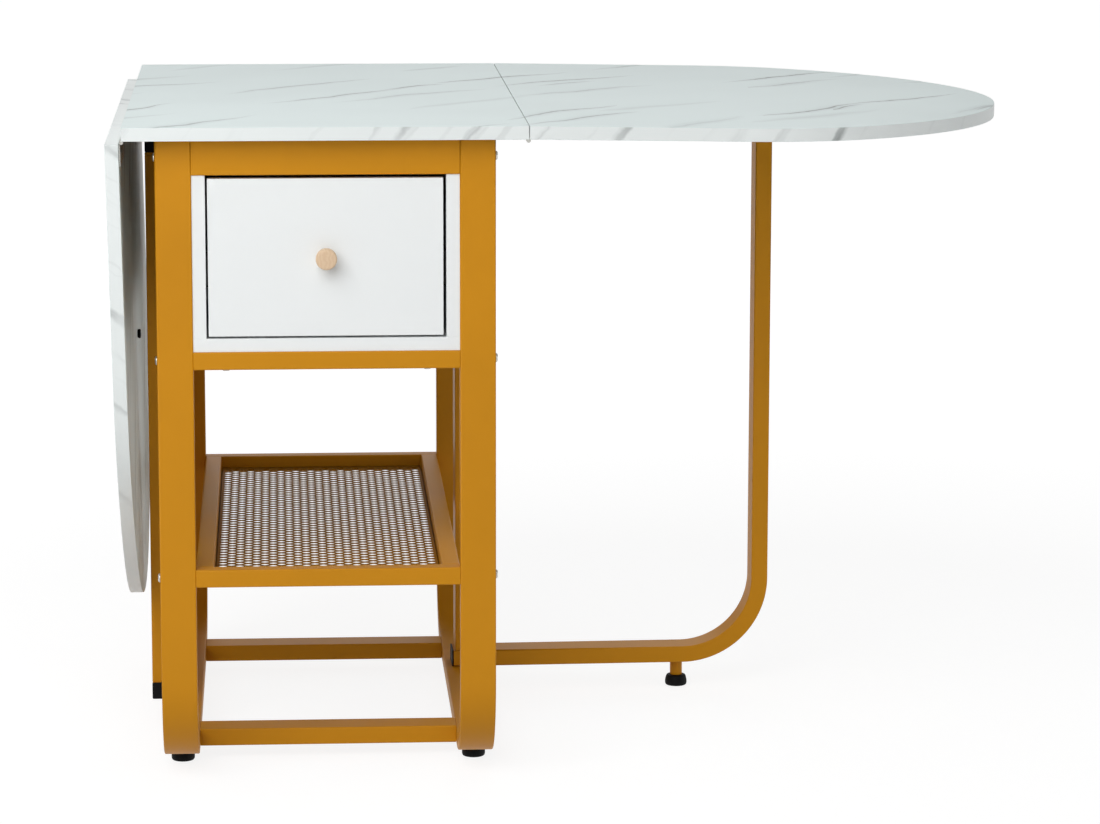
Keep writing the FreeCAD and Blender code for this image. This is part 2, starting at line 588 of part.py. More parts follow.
def gates():
    """The same gate twice: open on the right, folded along the legs on the left."""
    pieces = {
        "gate_loop": gate_loop(),
        "gate_post": gate_post(),
        "gate_plate": gate_plate(),
        "gate_caps": gate_caps(),
        "gate_stub": gate_stub(),
        "gate_foot": gate_foot(),
    }
    for side, name in ((-1, "left"), (1, "right")):
        angle = GATE_OPEN_ANGLE - 90 if side > 0 else 90
        for piece, shape in pieces.items():
            placed = shape.copy()
            placed.rotate(V(0, 0, 0), Z_AXIS, angle)
            placed.translate(V(side * PIVOT_X, side * GATE_PIVOT_Y, 0))
            nodes[piece + "_" + name] = placed
    pairs = [pivot(-1), pivot(1)]
    for index, name in enumerate(("pivot_brackets", "pivot_pins", "pivot_washers")):
        nodes[name] = group([solid for pair in pairs for solid in pair[index]])


def pivot(side):
    """Bearing block on the top rail, pins in it and in the floor bar, and a washer in its underside.

    The block is as wide as the folded post under it, so the two line up.
    """
    x, y = side * PIVOT_X, side * GATE_PIVOT_Y
    low, high = PLATE_TOP + MOVING_GAP, APRON_BOTTOM + BLOCK_RISE
    bearing = block(side * SIDE_RAIL_OUT, x + side * TUBE_FAR, y - side * BLOCK_FRONT, y + side * POST_BACK,
                    low, high)
    hole = rod(PIVOT_RADIUS + FIT, V(x, y, low - 1), V(x, y, high + 1))
    seat = rod(WASHER_RADIUS + FIT, V(x, y, low - 1), V(x, y, low + WASHER_THICKNESS))
    low_pin = rod(PIVOT_RADIUS, V(x, y, FOOT_HEIGHT + TUBE_THIN / 2), V(x, y, GATE_BOTTOM + PIVOT_LIFT))
    high_pin = rod(PIVOT_RADIUS, V(x, y, POST_TOP - PIVOT_LIFT), V(x, y, high))
    washer = rod(WASHER_RADIUS, V(x, y, low), V(x, y, low + WASHER_THICKNESS)).cut(hole)
    return [bearing.cut([hole, seat])], [low_pin, high_pin], [washer]


# ---- build and export -------------------------------------------------------------------
def footprint_centre():
    """Middle of the whole table along X and Y, from its corner points."""
    points = [vertex.Point for shape in nodes.values() for vertex in shape.Vertexes]
    x_values = [point.x for point in points]
    y_values = [point.y for point in points]
    return V((min(x_values) + max(x_values)) / 2, (min(y_values) + max(y_values)) / 2, 0)


def main():
    frame()
    frame_bolts()
    feet()
    shelf()
    cabinet()
    drawer()
    top()
    gates()
    centre = footprint_centre()
    for name, shape in nodes.items():
        shape.translate(-centre)
        if not shape.isValid() or not shape.Solids:
            raise ValueError(name + " is not a valid solid")
        shape.exportStep("parts/" + name + ".step")
    print("nodes", len(nodes), "centre", round(centre.x, 3), round(centre.y, 3))


main()
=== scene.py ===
# %% [markdown]
# # A drop-leaf kitchen table, dressed over its CAD frame
# The CAD model comes in as a fixed frame of steel tubes, boards and small hardware. This
# notebook dresses it: tubes get the rounded corners of rolled steel, boards get softened edges,
# and every surface gets a finish. New pieces could be modelled by eye, but they would drift from
# what carries them. So each one stands where its CAD piece stands, and departs from it by a few
# millimetres at most. Sizes that a box can tell are read from the CAD piece, and the others
# repeat its own.

# %% Load the frame
import bpy
import bmesh
import json
import math
import numpy as np
from mathutils import Matrix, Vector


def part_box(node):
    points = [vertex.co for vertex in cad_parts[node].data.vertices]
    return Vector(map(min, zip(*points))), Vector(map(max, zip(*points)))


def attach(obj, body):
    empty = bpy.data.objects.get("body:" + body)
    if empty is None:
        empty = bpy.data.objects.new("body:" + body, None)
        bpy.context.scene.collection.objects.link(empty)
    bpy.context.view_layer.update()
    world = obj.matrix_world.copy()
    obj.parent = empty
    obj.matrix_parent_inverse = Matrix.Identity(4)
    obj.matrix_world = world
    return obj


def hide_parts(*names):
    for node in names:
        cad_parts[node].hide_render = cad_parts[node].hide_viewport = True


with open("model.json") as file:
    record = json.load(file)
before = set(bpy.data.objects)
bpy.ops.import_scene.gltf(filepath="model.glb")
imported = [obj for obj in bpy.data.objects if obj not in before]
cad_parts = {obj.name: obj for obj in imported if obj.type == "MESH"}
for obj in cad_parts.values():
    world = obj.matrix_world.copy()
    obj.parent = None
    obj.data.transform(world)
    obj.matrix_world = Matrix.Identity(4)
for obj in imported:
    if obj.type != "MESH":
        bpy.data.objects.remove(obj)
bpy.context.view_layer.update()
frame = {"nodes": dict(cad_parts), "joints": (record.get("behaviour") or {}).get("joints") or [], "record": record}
MM = 0.001
JOINTS = {joint["name"]: joint for joint in frame["joints"]}
PARTS = frame["nodes"]
print("CAD pieces:", len(PARTS), "joints:", sorted(JOINTS))

# %% [markdown]
# ## From arrays to meshes
# Tubes, boards and turned pieces are surfaces on a grid: one direction runs round a section, the
# other runs along the piece. Primitives with modifiers could make them too, but a grid that is
# worked out as an array states its formula and gives the same mesh each time. One helper turns a
# grid into quads, by index arithmetic on whole arrays, and closes open ends with one flat face.


# %% Grid surface helper
SAME_POINT = 1e-7               # metres within which two points are one


def grid_faces(rows, columns):
    """Quads (r, c), (r, c+1), (r+1, c+1), (r+1, c) over a grid whose columns close into a ring."""
    r, c = np.arange(rows - 1)[:, None], np.arange(columns)[None, :]
    beside = (c + 1) % columns
    quads = np.stack([r * columns + c, r * columns + beside, (r + 1) * columns + beside,
                      (r + 1) * columns + c], -1)
    return quads.reshape(-1, 4)


def make_object(name, points, faces):
    """Mesh object at the origin from an (n, 3) array of points in metres and a list of faces."""
    mesh = bpy.data.meshes.new(name)
    mesh.from_pydata(np.asarray(points, float).tolist(), [], [tuple(map(int, face)) for face in faces])
    mesh.validate()
    obj = bpy.data.objects.new(name, mesh)
    bpy.context.scene.collection.objects.link(obj)
    return obj


def face_outwards(obj, merge=0.0):
    """Merge points that lie within a distance of each other, then turn every face outwards."""
    bm = bmesh.new()
    bm.from_mesh(obj.data)
    if merge:
        bmesh.ops.remove_doubles(bm, verts=bm.verts, dist=merge)
    bmesh.ops.recalc_face_normals(bm, faces=bm.faces)
    bm.to_mesh(obj.data)
    bm.free()
    return obj


def shade_softly(obj):
    """Smooth shading in which large flat faces keep their own normal."""
    obj.data.polygons.foreach_set("use_smooth", np.ones(len(obj.data.polygons), bool))
    obj.modifiers.new("flat faces stay flat", "WEIGHTED_NORMAL").keep_sharp = True
    return obj


def skin(name, *grids):
    """One mesh from (rows, columns, 3) grids whose columns close into rings; flat faces end each."""
    faces, start = [], 0
    for grid in grids:
        rows, columns = grid.shape[:2]
        faces += (grid_faces(rows, columns) + start).tolist()
        faces.append(list(range(start + columns - 1, start - 1, -1)))
        faces.append(list(range(start + (rows - 1) * columns, start + rows * columns)))
        start += rows * columns
    points = np.vstack([grid.reshape(-1, 3) for grid in grids])
    return shade_softly(face_outwards(make_object(name, points, faces), SAME_POINT))


# %% [markdown]
# ## Finishes
# The table has printed laminate, powder-coated steel, bright metal, metal painted near black as painted shade,
# rubber, plastic and a little wood. Each could be one flat colour, but then every surface would look like the same
# paint. So each is a pattern made of nodes, and a finish that several pieces share is a node group with named
# sockets, built once. Patterns read Object coordinates, or places stored on the points, so they stay on a piece
# when a joint moves it.


# %% Colour and node helpers
def linear(red, green, blue):
    """Display colour 0-255 to the linear values that shaders use."""
    c = np.array([red, green, blue]) / 255.0
    values = np.where(c <= 0.04045, c / 12.92, ((c + 0.055) / 1.055) ** 2.4)
    return (*values.tolist(), 1.0)


def new_group(name, inputs, outputs):
    """Empty shader group, the sockets that it takes in and the node that gives its outputs.

    Inputs are (name, kind, default) and outputs are (name, kind).
    """
    group = bpy.data.node_groups.new(name, "ShaderNodeTree")
    for label, kind, default in inputs:
        socket = group.interface.new_socket(label, in_out="INPUT", socket_type="NodeSocket" + kind)
        socket.default_value = default
    for label, kind in outputs:
        group.interface.new_socket(label, in_out="OUTPUT", socket_type="NodeSocket" + kind)
    return group, group.nodes.new("NodeGroupInput").outputs, group.nodes.new("NodeGroupOutput")


def node(tree, kind, links=(), **settings):
    """Node with its settings, and links given as (input name or number, source socket or value)."""
    made = tree.nodes.new("ShaderNode" + kind)
    for key, value in settings.items():
        setattr(made, key, value)
    for key, source in links:
        if isinstance(source, bpy.types.NodeSocket):
            tree.links.new(source, made.inputs[key])
        else:
            made.inputs[key].default_value = source
    return made


def mix_colour(tree, factor, first, second, blend="MIX"):
    """Colour mix; sockets 0, 6 and 7 are its factor and its two colours."""
    mix = node(tree, "Mix", [(0, factor), (6, first), (7, second)], data_type="RGBA", blend_type=blend)
    return mix.outputs[2]


def ramp(tree, value, stops):
    """Value to grey through (position, grey) stops."""
    made = node(tree, "ValToRGB", [("Fac", value)])
    elements = made.color_ramp.elements
    while len(elements) < len(stops):
        elements.new(0.5)
    for element, (position, grey) in zip(elements, stops):
        element.position = position
        element.color = (grey, grey, grey, 1)
    return made.outputs["Color"]


# %% Arithmetic helpers for patterns
def calc(tree, operation, *values, clamp=False):
    """Math node on sockets and numbers."""
    return node(tree, "Math", list(enumerate(values)), operation=operation, use_clamp=clamp).outputs[0]


def vector_calc(tree, operation, *values):
    """Vector maths on sockets and triples, for operations that give a vector."""
    return node(tree, "VectorMath", list(enumerate(values)), operation=operation).outputs[0]


def measure(tree, vector, direction):
    """Length of a vector along a direction."""
    return node(tree, "VectorMath", [(0, vector), (1, direction)], operation="DOT_PRODUCT").outputs["Value"]


def noise(tree, vector, scale, detail):
    """Outputs of a noise texture: Fac and Color."""
    return node(tree, "TexNoise", [("Vector", vector), ("Scale", scale), ("Detail", detail)]).outputs


def shifted_by_noise(tree, vector, scale, amount, detail=2.0):
    """Vector moved by up to half the amount along each axis, smoothly with the place."""
    centred = vector_calc(tree, "SUBTRACT", noise(tree, vector, scale, detail)["Color"], (0.5, 0.5, 0.5))
    return vector_calc(tree, "ADD", vector, vector_calc(tree, "MULTIPLY", centred, (amount,) * 3))


def hand_to(tree, target, **sources):
    """Link sockets to a node's inputs; an underscore in a name stands for a space."""
    for name, source in sources.items():
        tree.links.new(source, target.inputs[name.replace("_", " ")])


# %% [markdown]
# ## Powder coat
# The steel is sprayed with powder and baked, which leaves a faint pebbled skin. Displaced geometry
# could show it, but the pebbles are a fraction of a millimetre high, so fine noise through a Bump
# node is enough. A slow noise changes tone and roughness a little along a tube.

# %% Powder coat group
RELIEF = 0.0002                 # metres, height of every fine relief at full strength


def powder_coat_group():
    """Sprayed powder: a fine pebbled skin, faint cloudy tone and a touch of roughness change."""
    group, take, give = new_group("powder coat", [
        ("Colour", "Color", (0.5, 0.5, 0.5, 1)), ("Pebble size", "Float", 900.0),
        ("Pebble height", "Float", 0.12), ("Roughness", "Float", 0.4)],
        [("Colour", "Color"), ("Roughness", "Float"), ("Normal", "Vector")])
    where = node(group, "TexCoord").outputs["Object"]
    cloud = noise(group, where, 7.0, 3.0)["Fac"]
    shade = ramp(group, cloud, [(0.3, 0.93), (0.7, 1.0)])
    pebble = node(group, "TexNoise", [("Vector", where), ("Scale", take["Pebble size"]),
                                      ("Detail", 2.0), ("Roughness", 0.6)])
    bump = node(group, "Bump", [("Strength", take["Pebble height"]), ("Distance", RELIEF),
                                ("Height", pebble.outputs["Fac"])])
    spread = node(group, "MapRange", [("Value", cloud), ("To Min", -0.03), ("To Max", 0.05)])
    hand_to(group, give, Colour=mix_colour(group, 1.0, take["Colour"], shade, "MULTIPLY"),
            Roughness=calc(group, "ADD", take["Roughness"], spread.outputs[0]),
            Normal=bump.outputs["Normal"])
    return group


# %% [markdown]
# ## Marbled laminate
# The boards carry a printed marble: thin grey veins that taper out, with softer grey beside them.
# A wave texture bent by noise gives lines without an end. So each cell of a stretched cell pattern
# may hold one vein, with a slope and a strength of its own. The edge band is a separate strip with
# broader smears, and an attribute on the points says where it is.

# %% Marbled laminate group
VEIN_RUN, VEIN_STEP = (0.70, 0.70, 0.30), (0.70, -0.70, -0.80)    # along the veins, and across them
SMEAR_STEP = (1.0, 0.62, -0.75)                                   # across the edge band's smears
VEIN_LEAN = 0.24                # spread of the veins' slopes
HAZE_WIDTH, HAZE_SHARE = 4.5, 0.16


def vein_layer(tree, along, across, length, width, cell, shown, shift):
    """One vein in each cell of a stretched cell pattern, as strong as (taper - distance / width).

    The taper is 1 in the middle of the vein and falls to 0 at half its length either way. Shown is
    the share of the cells that have a vein, and shift sets one layer's cells apart from another's.
    """
    column = calc(tree, "MULTIPLY_ADD", along, 1 / cell[0], shift)
    row = calc(tree, "MULTIPLY_ADD", across, 1 / cell[1], 1.7 * shift)
    place = node(tree, "CombineXYZ", [(0, column), (1, row)]).outputs[0]
    cells = node(tree, "TexVoronoi", [("Vector", place), ("Scale", 1.0), ("Randomness", 0.9)],
                 voronoi_dimensions="2D")
    offset = node(tree, "SeparateXYZ", [(0, vector_calc(tree, "SUBTRACT", place, cells.outputs["Position"]))])
    chance = node(tree, "SeparateColor", [(0, cells.outputs["Color"])])
    run = calc(tree, "MULTIPLY", offset.outputs["X"], cell[0])
    slope = calc(tree, "MULTIPLY_ADD", chance.outputs["Green"], VEIN_LEAN, -VEIN_LEAN / 2)
    lean = calc(tree, "MULTIPLY", run, slope)
    side = calc(tree, "ABSOLUTE", calc(tree, "MULTIPLY_ADD", offset.outputs["Y"], cell[1], lean))
    part = calc(tree, "MULTIPLY", run, 2 / length)
    taper = calc(tree, "SUBTRACT", 1.0, calc(tree, "MULTIPLY", part, part), clamp=True)
    taper = calc(tree, "MULTIPLY", taper, calc(tree, "LESS_THAN", chance.outputs["Red"], shown))
    core = calc(tree, "SUBTRACT", taper, calc(tree, "DIVIDE", side, width), clamp=True)
    haze = calc(tree, "SUBTRACT", taper, calc(tree, "DIVIDE", side, HAZE_WIDTH * width), clamp=True)
    return calc(tree, "MULTIPLY_ADD", haze, HAZE_SHARE, calc(tree, "MULTIPLY", core, chance.outputs["Blue"]))


def smears(tree, where):
    """Soft slanting streaks of uneven strength that come and go in patches."""
    band = measure(tree, shifted_by_noise(tree, where, 70.0, 0.008), SMEAR_STEP)
    streak = node(tree, "TexNoise", [("W", band), ("Scale", 38.0), ("Detail", 2.5)], noise_dimensions="1D")
    strength = ramp(tree, streak.outputs["Fac"], [(0.55, 0.0), (0.64, 0.16), (0.78, 0.62)])
    patch = ramp(tree, noise(tree, where, 9.0, 1.0)["Fac"], [(0.40, 0.1), (0.60, 1.0)])
    return calc(tree, "MULTIPLY", strength, patch)


def point_value(tree, name):
    """Attribute node for a value that is stored on a mesh's points."""
    return node(tree, "Attribute", attribute_type="GEOMETRY", attribute_name=name).outputs


def marble_group():
    """Printed marble: thin tapering veins on the faces, broad slanting smears on the edge band.

    The attribute "flat" is each point's place with both leaves raised, so the veins run on from
    board to board when the table is open and stay on a leaf when it hangs.
    """
    group, take, give = new_group("marbled print", [
        ("Face", "Color", (0.8, 0.8, 0.8, 1)), ("Band", "Color", (0.8, 0.8, 0.8, 1)),
        ("Vein", "Color", (0.3, 0.3, 0.3, 1))], [("Colour", "Color")])
    where, on_edge = point_value(group, "flat")["Vector"], point_value(group, "edge")["Fac"]
    bent = shifted_by_noise(group, where, 5.0, 0.06)
    bent = shifted_by_noise(group, bent, 38.0, 0.007, 3.0)
    along, across = measure(group, bent, VEIN_RUN), measure(group, bent, VEIN_STEP)
    long_veins = vein_layer(group, along, across, length=0.26, width=0.0036, cell=(0.28, 0.095),
                            shown=0.8, shift=0.35)
    short_veins = vein_layer(group, along, across, length=0.12, width=0.0028, cell=(0.18, 0.08),
                             shown=0.18, shift=5.2)
    veins = calc(group, "ADD", long_veins, short_veins, clamp=True)
    mask = node(group, "Mix", [(0, on_edge), (2, veins), (3, smears(group, where))], data_type="FLOAT")
    haze = ramp(group, noise(group, where, 3.5, 2.0)["Fac"], [(0.35, 0.96), (0.65, 1.0)])
    ground = mix_colour(group, on_edge, take["Face"], take["Band"])
    ground = mix_colour(group, 1.0, ground, haze, "MULTIPLY")
    hand_to(group, give, Colour=mix_colour(group, mask.outputs[0], ground, take["Vein"]))
    return group


# %% [markdown]
# ## Fine grain
# Metal, rubber, plastic and wood differ in how their small relief catches the light. They could
# have a texture each, but one group with a size, a stretch and a height serves them all. Relief,
# roughness and tone come from the same noise, so that they agree.


# %% Fine grain group
def fine_grain_group():
    """Small even relief, stretched along one direction when its stretch is not even."""
    group, take, give = new_group("fine grain", [
        ("Size", "Float", 600.0), ("Stretch", "Vector", (1.0, 1.0, 1.0)), ("Height", "Float", 0.2),
        ("Roughness", "Float", 0.5), ("Roughness change", "Float", 0.08)],
        [("Roughness", "Float"), ("Normal", "Vector"), ("Grain", "Float")])
    where = node(group, "TexCoord").outputs["Object"]
    spaced = vector_calc(group, "MULTIPLY", where, take["Stretch"])
    grain = noise(group, spaced, take["Size"], 3.0)["Fac"]
    bump = node(group, "Bump", [("Strength", take["Height"]), ("Distance", RELIEF), ("Height", grain)])
    swing = calc(group, "MULTIPLY", calc(group, "SUBTRACT", grain, 0.5), take["Roughness change"])
    hand_to(group, give, Roughness=calc(group, "ADD", take["Roughness"], swing),
            Normal=bump.outputs["Normal"], Grain=grain)
    return group


POWDER_COAT = powder_coat_group()
MARBLED_PRINT = marble_group()
FINE_GRAIN = fine_grain_group()
print("shared finishes:", [group.name for group in (POWDER_COAT, MARBLED_PRINT, FINE_GRAIN)])

# %% [markdown]
# ## Materials
# Every finish is one Principled shader with the groups plugged in. The shader could sit inside a
# group as well, but other programs read it only from the material itself. For the same reason a
# value that is the same all over, such as the specular level, is set straight on its socket.


# %% Materials
def material(name, **plain):
    """New Principled material; plain values go straight onto the shader's own sockets."""
    made = bpy.data.materials.new(name)
    made.use_nodes = True
    shader = made.node_tree.nodes["Principled BSDF"]
    for key, value in plain.items():
        shader.inputs[key.replace("_", " ")].default_value = value
    return made, made.node_tree, shader


def use_group(tree, group, **values):
    """Place a node group, set its inputs and give its outputs."""
    made = tree.nodes.new("ShaderNodeGroup")
    made.node_tree = group
    for key, value in values.items():
        made.inputs[key.replace("_", " ")].default_value = value
    return made.outputs


def coated_steel(name, colour, roughness, shine=0.2):
    """Powder-coated steel."""
    made, tree, shader = material(name, Specular_IOR_Level=shine)
    coat = use_group(tree, POWDER_COAT, Colour=colour, Roughness=roughness)
    hand_to(tree, shader, Base_Color=coat["Colour"], Roughness=coat["Roughness"], Normal=coat["Normal"])
    return made


def marbled_laminate(name, face, band, vein, roughness):
    """Laminate with a marbled print under a fine skin; the edge band has a ground of its own."""
    made, tree, shader = material(name, Specular_IOR_Level=0.12)
    marble = use_group(tree, MARBLED_PRINT, Face=face, Band=band, Vein=vein)
    grain = use_group(tree, FINE_GRAIN, Size=1500.0, Height=0.04, Roughness=roughness)
    hand_to(tree, shader, Base_Color=marble["Colour"], Roughness=grain["Roughness"], Normal=grain["Normal"])
    return made


def grained(name, colour, roughness, size, height, stretch=(1, 1, 1), tone=0.04, **plain):
    """Plain colour with a fine relief, and a little of the relief in its tone."""
    made, tree, shader = material(name, **plain)
    grain = use_group(tree, FINE_GRAIN, Size=size, Stretch=stretch, Height=height, Roughness=roughness)
    darker = tuple(value * (1 - tone) for value in colour[:3]) + (1,)
    hand_to(tree, shader, Base_Color=mix_colour(tree, grain["Grain"], darker, colour),
            Roughness=grain["Roughness"], Normal=grain["Normal"])
    return made


def turned_wood(name, pale, dark):
    """Growth rings cut across by turning, with fine pores along the grain."""
    made, tree, shader = material(name, Specular_IOR_Level=0.4)
    where = node(tree, "TexCoord").outputs["Object"]
    rings = node(tree, "TexWave", [("Vector", where), ("Scale", 70.0), ("Distortion", 9.0), ("Detail", 2.0),
                                   ("Detail Scale", 1.6)], wave_type="BANDS", bands_direction="X")
    grain = use_group(tree, FINE_GRAIN, Size=260.0, Stretch=(1, 0.15, 1), Height=0.12, Roughness=0.48)
    hand_to(tree, shader, Base_Color=mix_colour(tree, rings.outputs["Fac"], pale, dark),
            Roughness=grain["Roughness"], Normal=grain["Normal"])
    return made


DRAWN = (1, 1, 4)               # the relief of drawn steel is four times finer along Z
GOLD = coated_steel("gold powder coat", linear(203, 137, 14), 0.46)
MARBLE = marbled_laminate("white marbled laminate", face=linear(226, 239, 238), band=linear(233, 238, 237),
                          vein=linear(90, 96, 97), roughness=0.42)
WHITE = grained("white laminate", linear(237, 240, 240), 0.34, 900.0, 0.05, tone=0.01)
STEEL = grained("zinc plated steel", linear(205, 204, 198), 0.28, 500.0, 0.08, DRAWN, Metallic=1.0)
RUBBER = grained("black rubber", linear(7, 7, 8), 0.62, 700.0, 0.3, tone=0.2, Specular_IOR_Level=0.15)
PLASTIC = grained("black plastic", linear(5, 5, 6), 0.5, 900.0, 0.15, tone=0.2, Specular_IOR_Level=0.15)
WOOD = turned_wood("pale turned wood", linear(221, 194, 163), linear(215, 185, 151))
# The punched sheet takes the gold paint at a darker colour: painted shade for its web, which lies in the shadow of
# the cabinet.
SHADED_SHEET_GOLD = coated_steel("gold coat on punched sheet", linear(140, 94, 14), 0.6, 0.05)
# The runners' near-black colour is painted shade that keeps the gap above the drawer dark.
GAP_SHADE_STEEL = grained("blackened steel", linear(22, 22, 23), 0.45, 500.0, 0.08, DRAWN, Metallic=0.6)
SLOT_FINISH = {"top_laminate": MARBLE, "panel_laminate": WHITE, "gold_paint": GOLD, "bright_steel": STEEL,
               "black_rubber": RUBBER, "black_plastic": PLASTIC, "knob_wood": WOOD}
print("finishes:", [finish.name for finish in SLOT_FINISH.values()])

# %% [markdown]
# ## Dress the CAD pieces that stay
# Hinges, pins, washers and runners have the right shape already. Building them again could only add errors, so
# they keep their CAD solids and take the finish of their material slot. The runners alone are painted near black
# instead, a painted shade that keeps the gap above the drawer dark.

# %% Finish every CAD piece
NODE_SLOT = {part["node"]: part["material_slot"] for part in frame["record"]["subparts"]}
# Runners take the near-black painted shade for the gap above the drawer; every other piece takes its slot's
# finish.
for name, obj in PARTS.items():
    obj.data.materials.clear()
    obj.data.materials.append(GAP_SHADE_STEEL if name.startswith("runner") else SLOT_FINISH[NODE_SLOT[name]])
BODY_OF = {name: body for body, names in frame["record"]["behaviour"]["bodies"].items() for name in names}
print("bodies:", sorted(set(BODY_OF.values())))


def dress(obj, cad_name, replace=True, finish=None):
    """Give a piece the finish, slot and body of a CAD piece, and stand in for it if asked."""
    obj.data.materials.append(finish or SLOT_FINISH[NODE_SLOT[cad_name]])
    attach(obj, BODY_OF[cad_name])
    if replace:
        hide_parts(cad_name)
    return obj


# %% [markdown]
# ## Straight tubes and boards
# Rolled tube has rounded corners, and a laminated board has a slightly broken edge. Both are the
# same shape: an outline that rises through a block, pulled in along a quarter circle at each end.
# A Bevel modifier could round a box, but with one radius, and a tube is rounder along its corners
# than at its cut ends. The bright line along every real edge comes from this rounding, so it is
# geometry and not paint. The aprons end a little higher and the drawer front a little sooner than
# in CAD, which widens the dark gap over the drawer and on its right.


# %% Rounded blocks
def rounded_rectangle(width, height, radius, steps=6):
    """Four quarter circles joined by straights, anticlockwise: points and outward normals."""
    quarter = np.linspace(0, math.pi / 2, steps + 1)
    angles = (np.arange(4)[:, None] * math.pi / 2 + quarter).ravel()
    normals = np.stack([np.cos(angles), np.sin(angles)], 1)
    reach = (width / 2 - radius, height / 2 - radius)
    centres = np.repeat([(1, 1), (-1, 1), (-1, -1), (1, -1)], steps + 1, 0) * reach
    return centres + radius * normals, normals


def block_grid(outline, normals, low, high, edge, steps=4):
    """Outline swept from low to high; at both ends it moves in by edge * (1 - cos t)."""
    t = np.linspace(0, math.pi / 2, steps + 1)
    inset = edge * (1 - np.cos(np.concatenate([t[::-1], t])))
    rise = np.concatenate([low + edge * (1 - np.sin(t[::-1])), high - edge * (1 - np.sin(t))])
    flat = outline[None] - inset[:, None, None] * normals[None]
    return np.concatenate([flat, np.broadcast_to(rise[:, None, None], flat.shape[:2] + (1,))], 2)


def rounded_grid(low, high, along, corner, edge):
    """Grid of a block between two corners: outline rounded by corner, ends rounded by edge."""
    first, second = [i for i in range(3) if "xyz"[i] != along]
    third = "xyz".index(along)
    low, high = np.array(low), np.array(high)
    size, middle = high - low, (high + low) / 2
    outline, normals = rounded_rectangle(size[first], size[second], corner)
    grid = block_grid(outline, normals, -size[third] / 2, size[third] / 2, edge)
    return grid[..., np.argsort((first, second, third))] + middle


TUBE_CORNER = 1.6 * MM
TUBE_END = 0.7 * MM
BOARD_EDGE = 0.4 * MM
APRON_LIFT, RIGHT_GAP = 1.5 * MM, 0.9 * MM
ENDS = {"x": ("front", "back"), "y": ("left", "right")}
RAILS = {"x": ("apron", "drawer_rail", "shelf_rail", "low_rail"), "y": ("shelf_side", "top_side_rail")}
boards = ["cabinet_floor", "cabinet_side_left", "cabinet_side_right", "cabinet_back", "drawer_front",
          "drawer_side_left", "drawer_side_right", "drawer_back", "drawer_floor"]
straight_tubes = {f"{rail}_{end}": along for along, rails in RAILS.items()
                  for rail in rails for end in ENDS[along]}
for name, along in straight_tubes.items():
    low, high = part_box(name)
    low.z += APRON_LIFT if name.startswith("apron") else 0
    dress(skin("tube_" + name, rounded_grid(low, high, along, TUBE_CORNER, TUBE_END)), name)
for name in boards:
    low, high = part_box(name)
    high.z += APRON_LIFT if name in ("cabinet_side_left", "cabinet_side_right", "cabinet_back") else 0
    high.x -= RIGHT_GAP if name == "drawer_front" else 0
    thinnest = "xyz"[int(np.argmin(np.array(high) - np.array(low)))]
    dress(skin("board_" + name, rounded_grid(low, high, thinnest, BOARD_EDGE, BOARD_EDGE)), name)
print("tubes:", len(straight_tubes), "boards:", len(boards))

# %% [markdown]
# ## Bent tubes
# Each side of the frame is one tube bent into a U, and each gate is one tube bent into a J. A
# curve with a bevel could carry the section, but this path lies in one plane, so it is simpler to
# work it out there as straights and arcs. The rounded section is carried along it, square to the
# path, and can't twist.


# %% Bent tube helper
TUBE_THIN, TUBE_WIDE = 20 * MM, 40 * MM
BEND = 105 * MM                 # radius on the outer side of every bend


def unit(vector):
    """Vector of length 1 the same way."""
    return vector / np.linalg.norm(vector)


def bent_path(corners, radius, steps=28):
    """Centre line through corners in a plane: each corner becomes a tangent arc of the radius."""
    corners = np.array(corners, float)
    ways = [unit(after - before) for before, after in zip(corners[:-1], corners[1:])]
    points, tangents = [corners[0]], [ways[0]]
    for corner, arrive, leave in zip(corners[1:-1], ways[:-1], ways[1:]):
        turn = math.acos(np.clip(arrive @ leave, -1, 1))
        start = corner - arrive * radius * math.tan(turn / 2)
        side = unit(leave - (leave @ arrive) * arrive)
        angle = np.linspace(0, turn, steps + 1)[:, None]
        points.append(start + radius * (np.sin(angle) * arrive + (1 - np.cos(angle)) * side))
        tangents.append(np.cos(angle) * arrive + np.sin(angle) * side)
    return np.vstack(points + [corners[-1]]), np.vstack(tangents + [ways[-1]])


def bent_tube(name, corners, plane, offset):
    """Tube bent along a path through corners; plane maps (a, b, side) to x, y, z columns."""
    path, tangent = bent_path(corners, BEND - TUBE_THIN / 2)
    across = np.stack([tangent[:, 1], -tangent[:, 0]], 1)
    section, _ = rounded_rectangle(TUBE_THIN, TUBE_WIDE, TUBE_CORNER)
    flat = path[:, None, :] + across[:, None, :] * section[None, :, :1]
    side = np.broadcast_to(offset + section[None, :, 1:], flat.shape[:2] + (1,))
    return skin(name, np.concatenate([flat, side], 2) @ np.array(plane, float))


# %% Two U-shaped side frames
for side in ("left", "right"):
    low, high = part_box("side_frame_" + side)
    front, back = low.y + TUBE_THIN / 2, high.y - TUBE_THIN / 2
    base, top = low.z + TUBE_THIN / 2, high.z
    corners = [(front, top), (front, base), (back, base), (back, top)]
    u_frame = bent_tube("tube_side_frame_" + side, corners, [(0, 1, 0), (0, 0, 1), (1, 0, 0)],
                        (low.x + high.x) / 2)
    dress(u_frame, "side_frame_" + side)
print("faces of a side frame:", len(u_frame.data.polygons))

# %% [markdown]
# ## Gates
# A gate swings out to hold a leaf up. It is a J-shaped tube with a thin post welded on at the
# pivot. It could be drawn where it stands, but one gate stands open and one folded. So it is
# worked out once in its own axes, with the pivot on the vertical axis, and its points are then
# turned to the angle of the open or the folded gate.

# %% Gate shapes
gate_angle = {"right": -JOINTS["right_gate_swing"]["range_deg"][0] - 90, "left": 90.0}


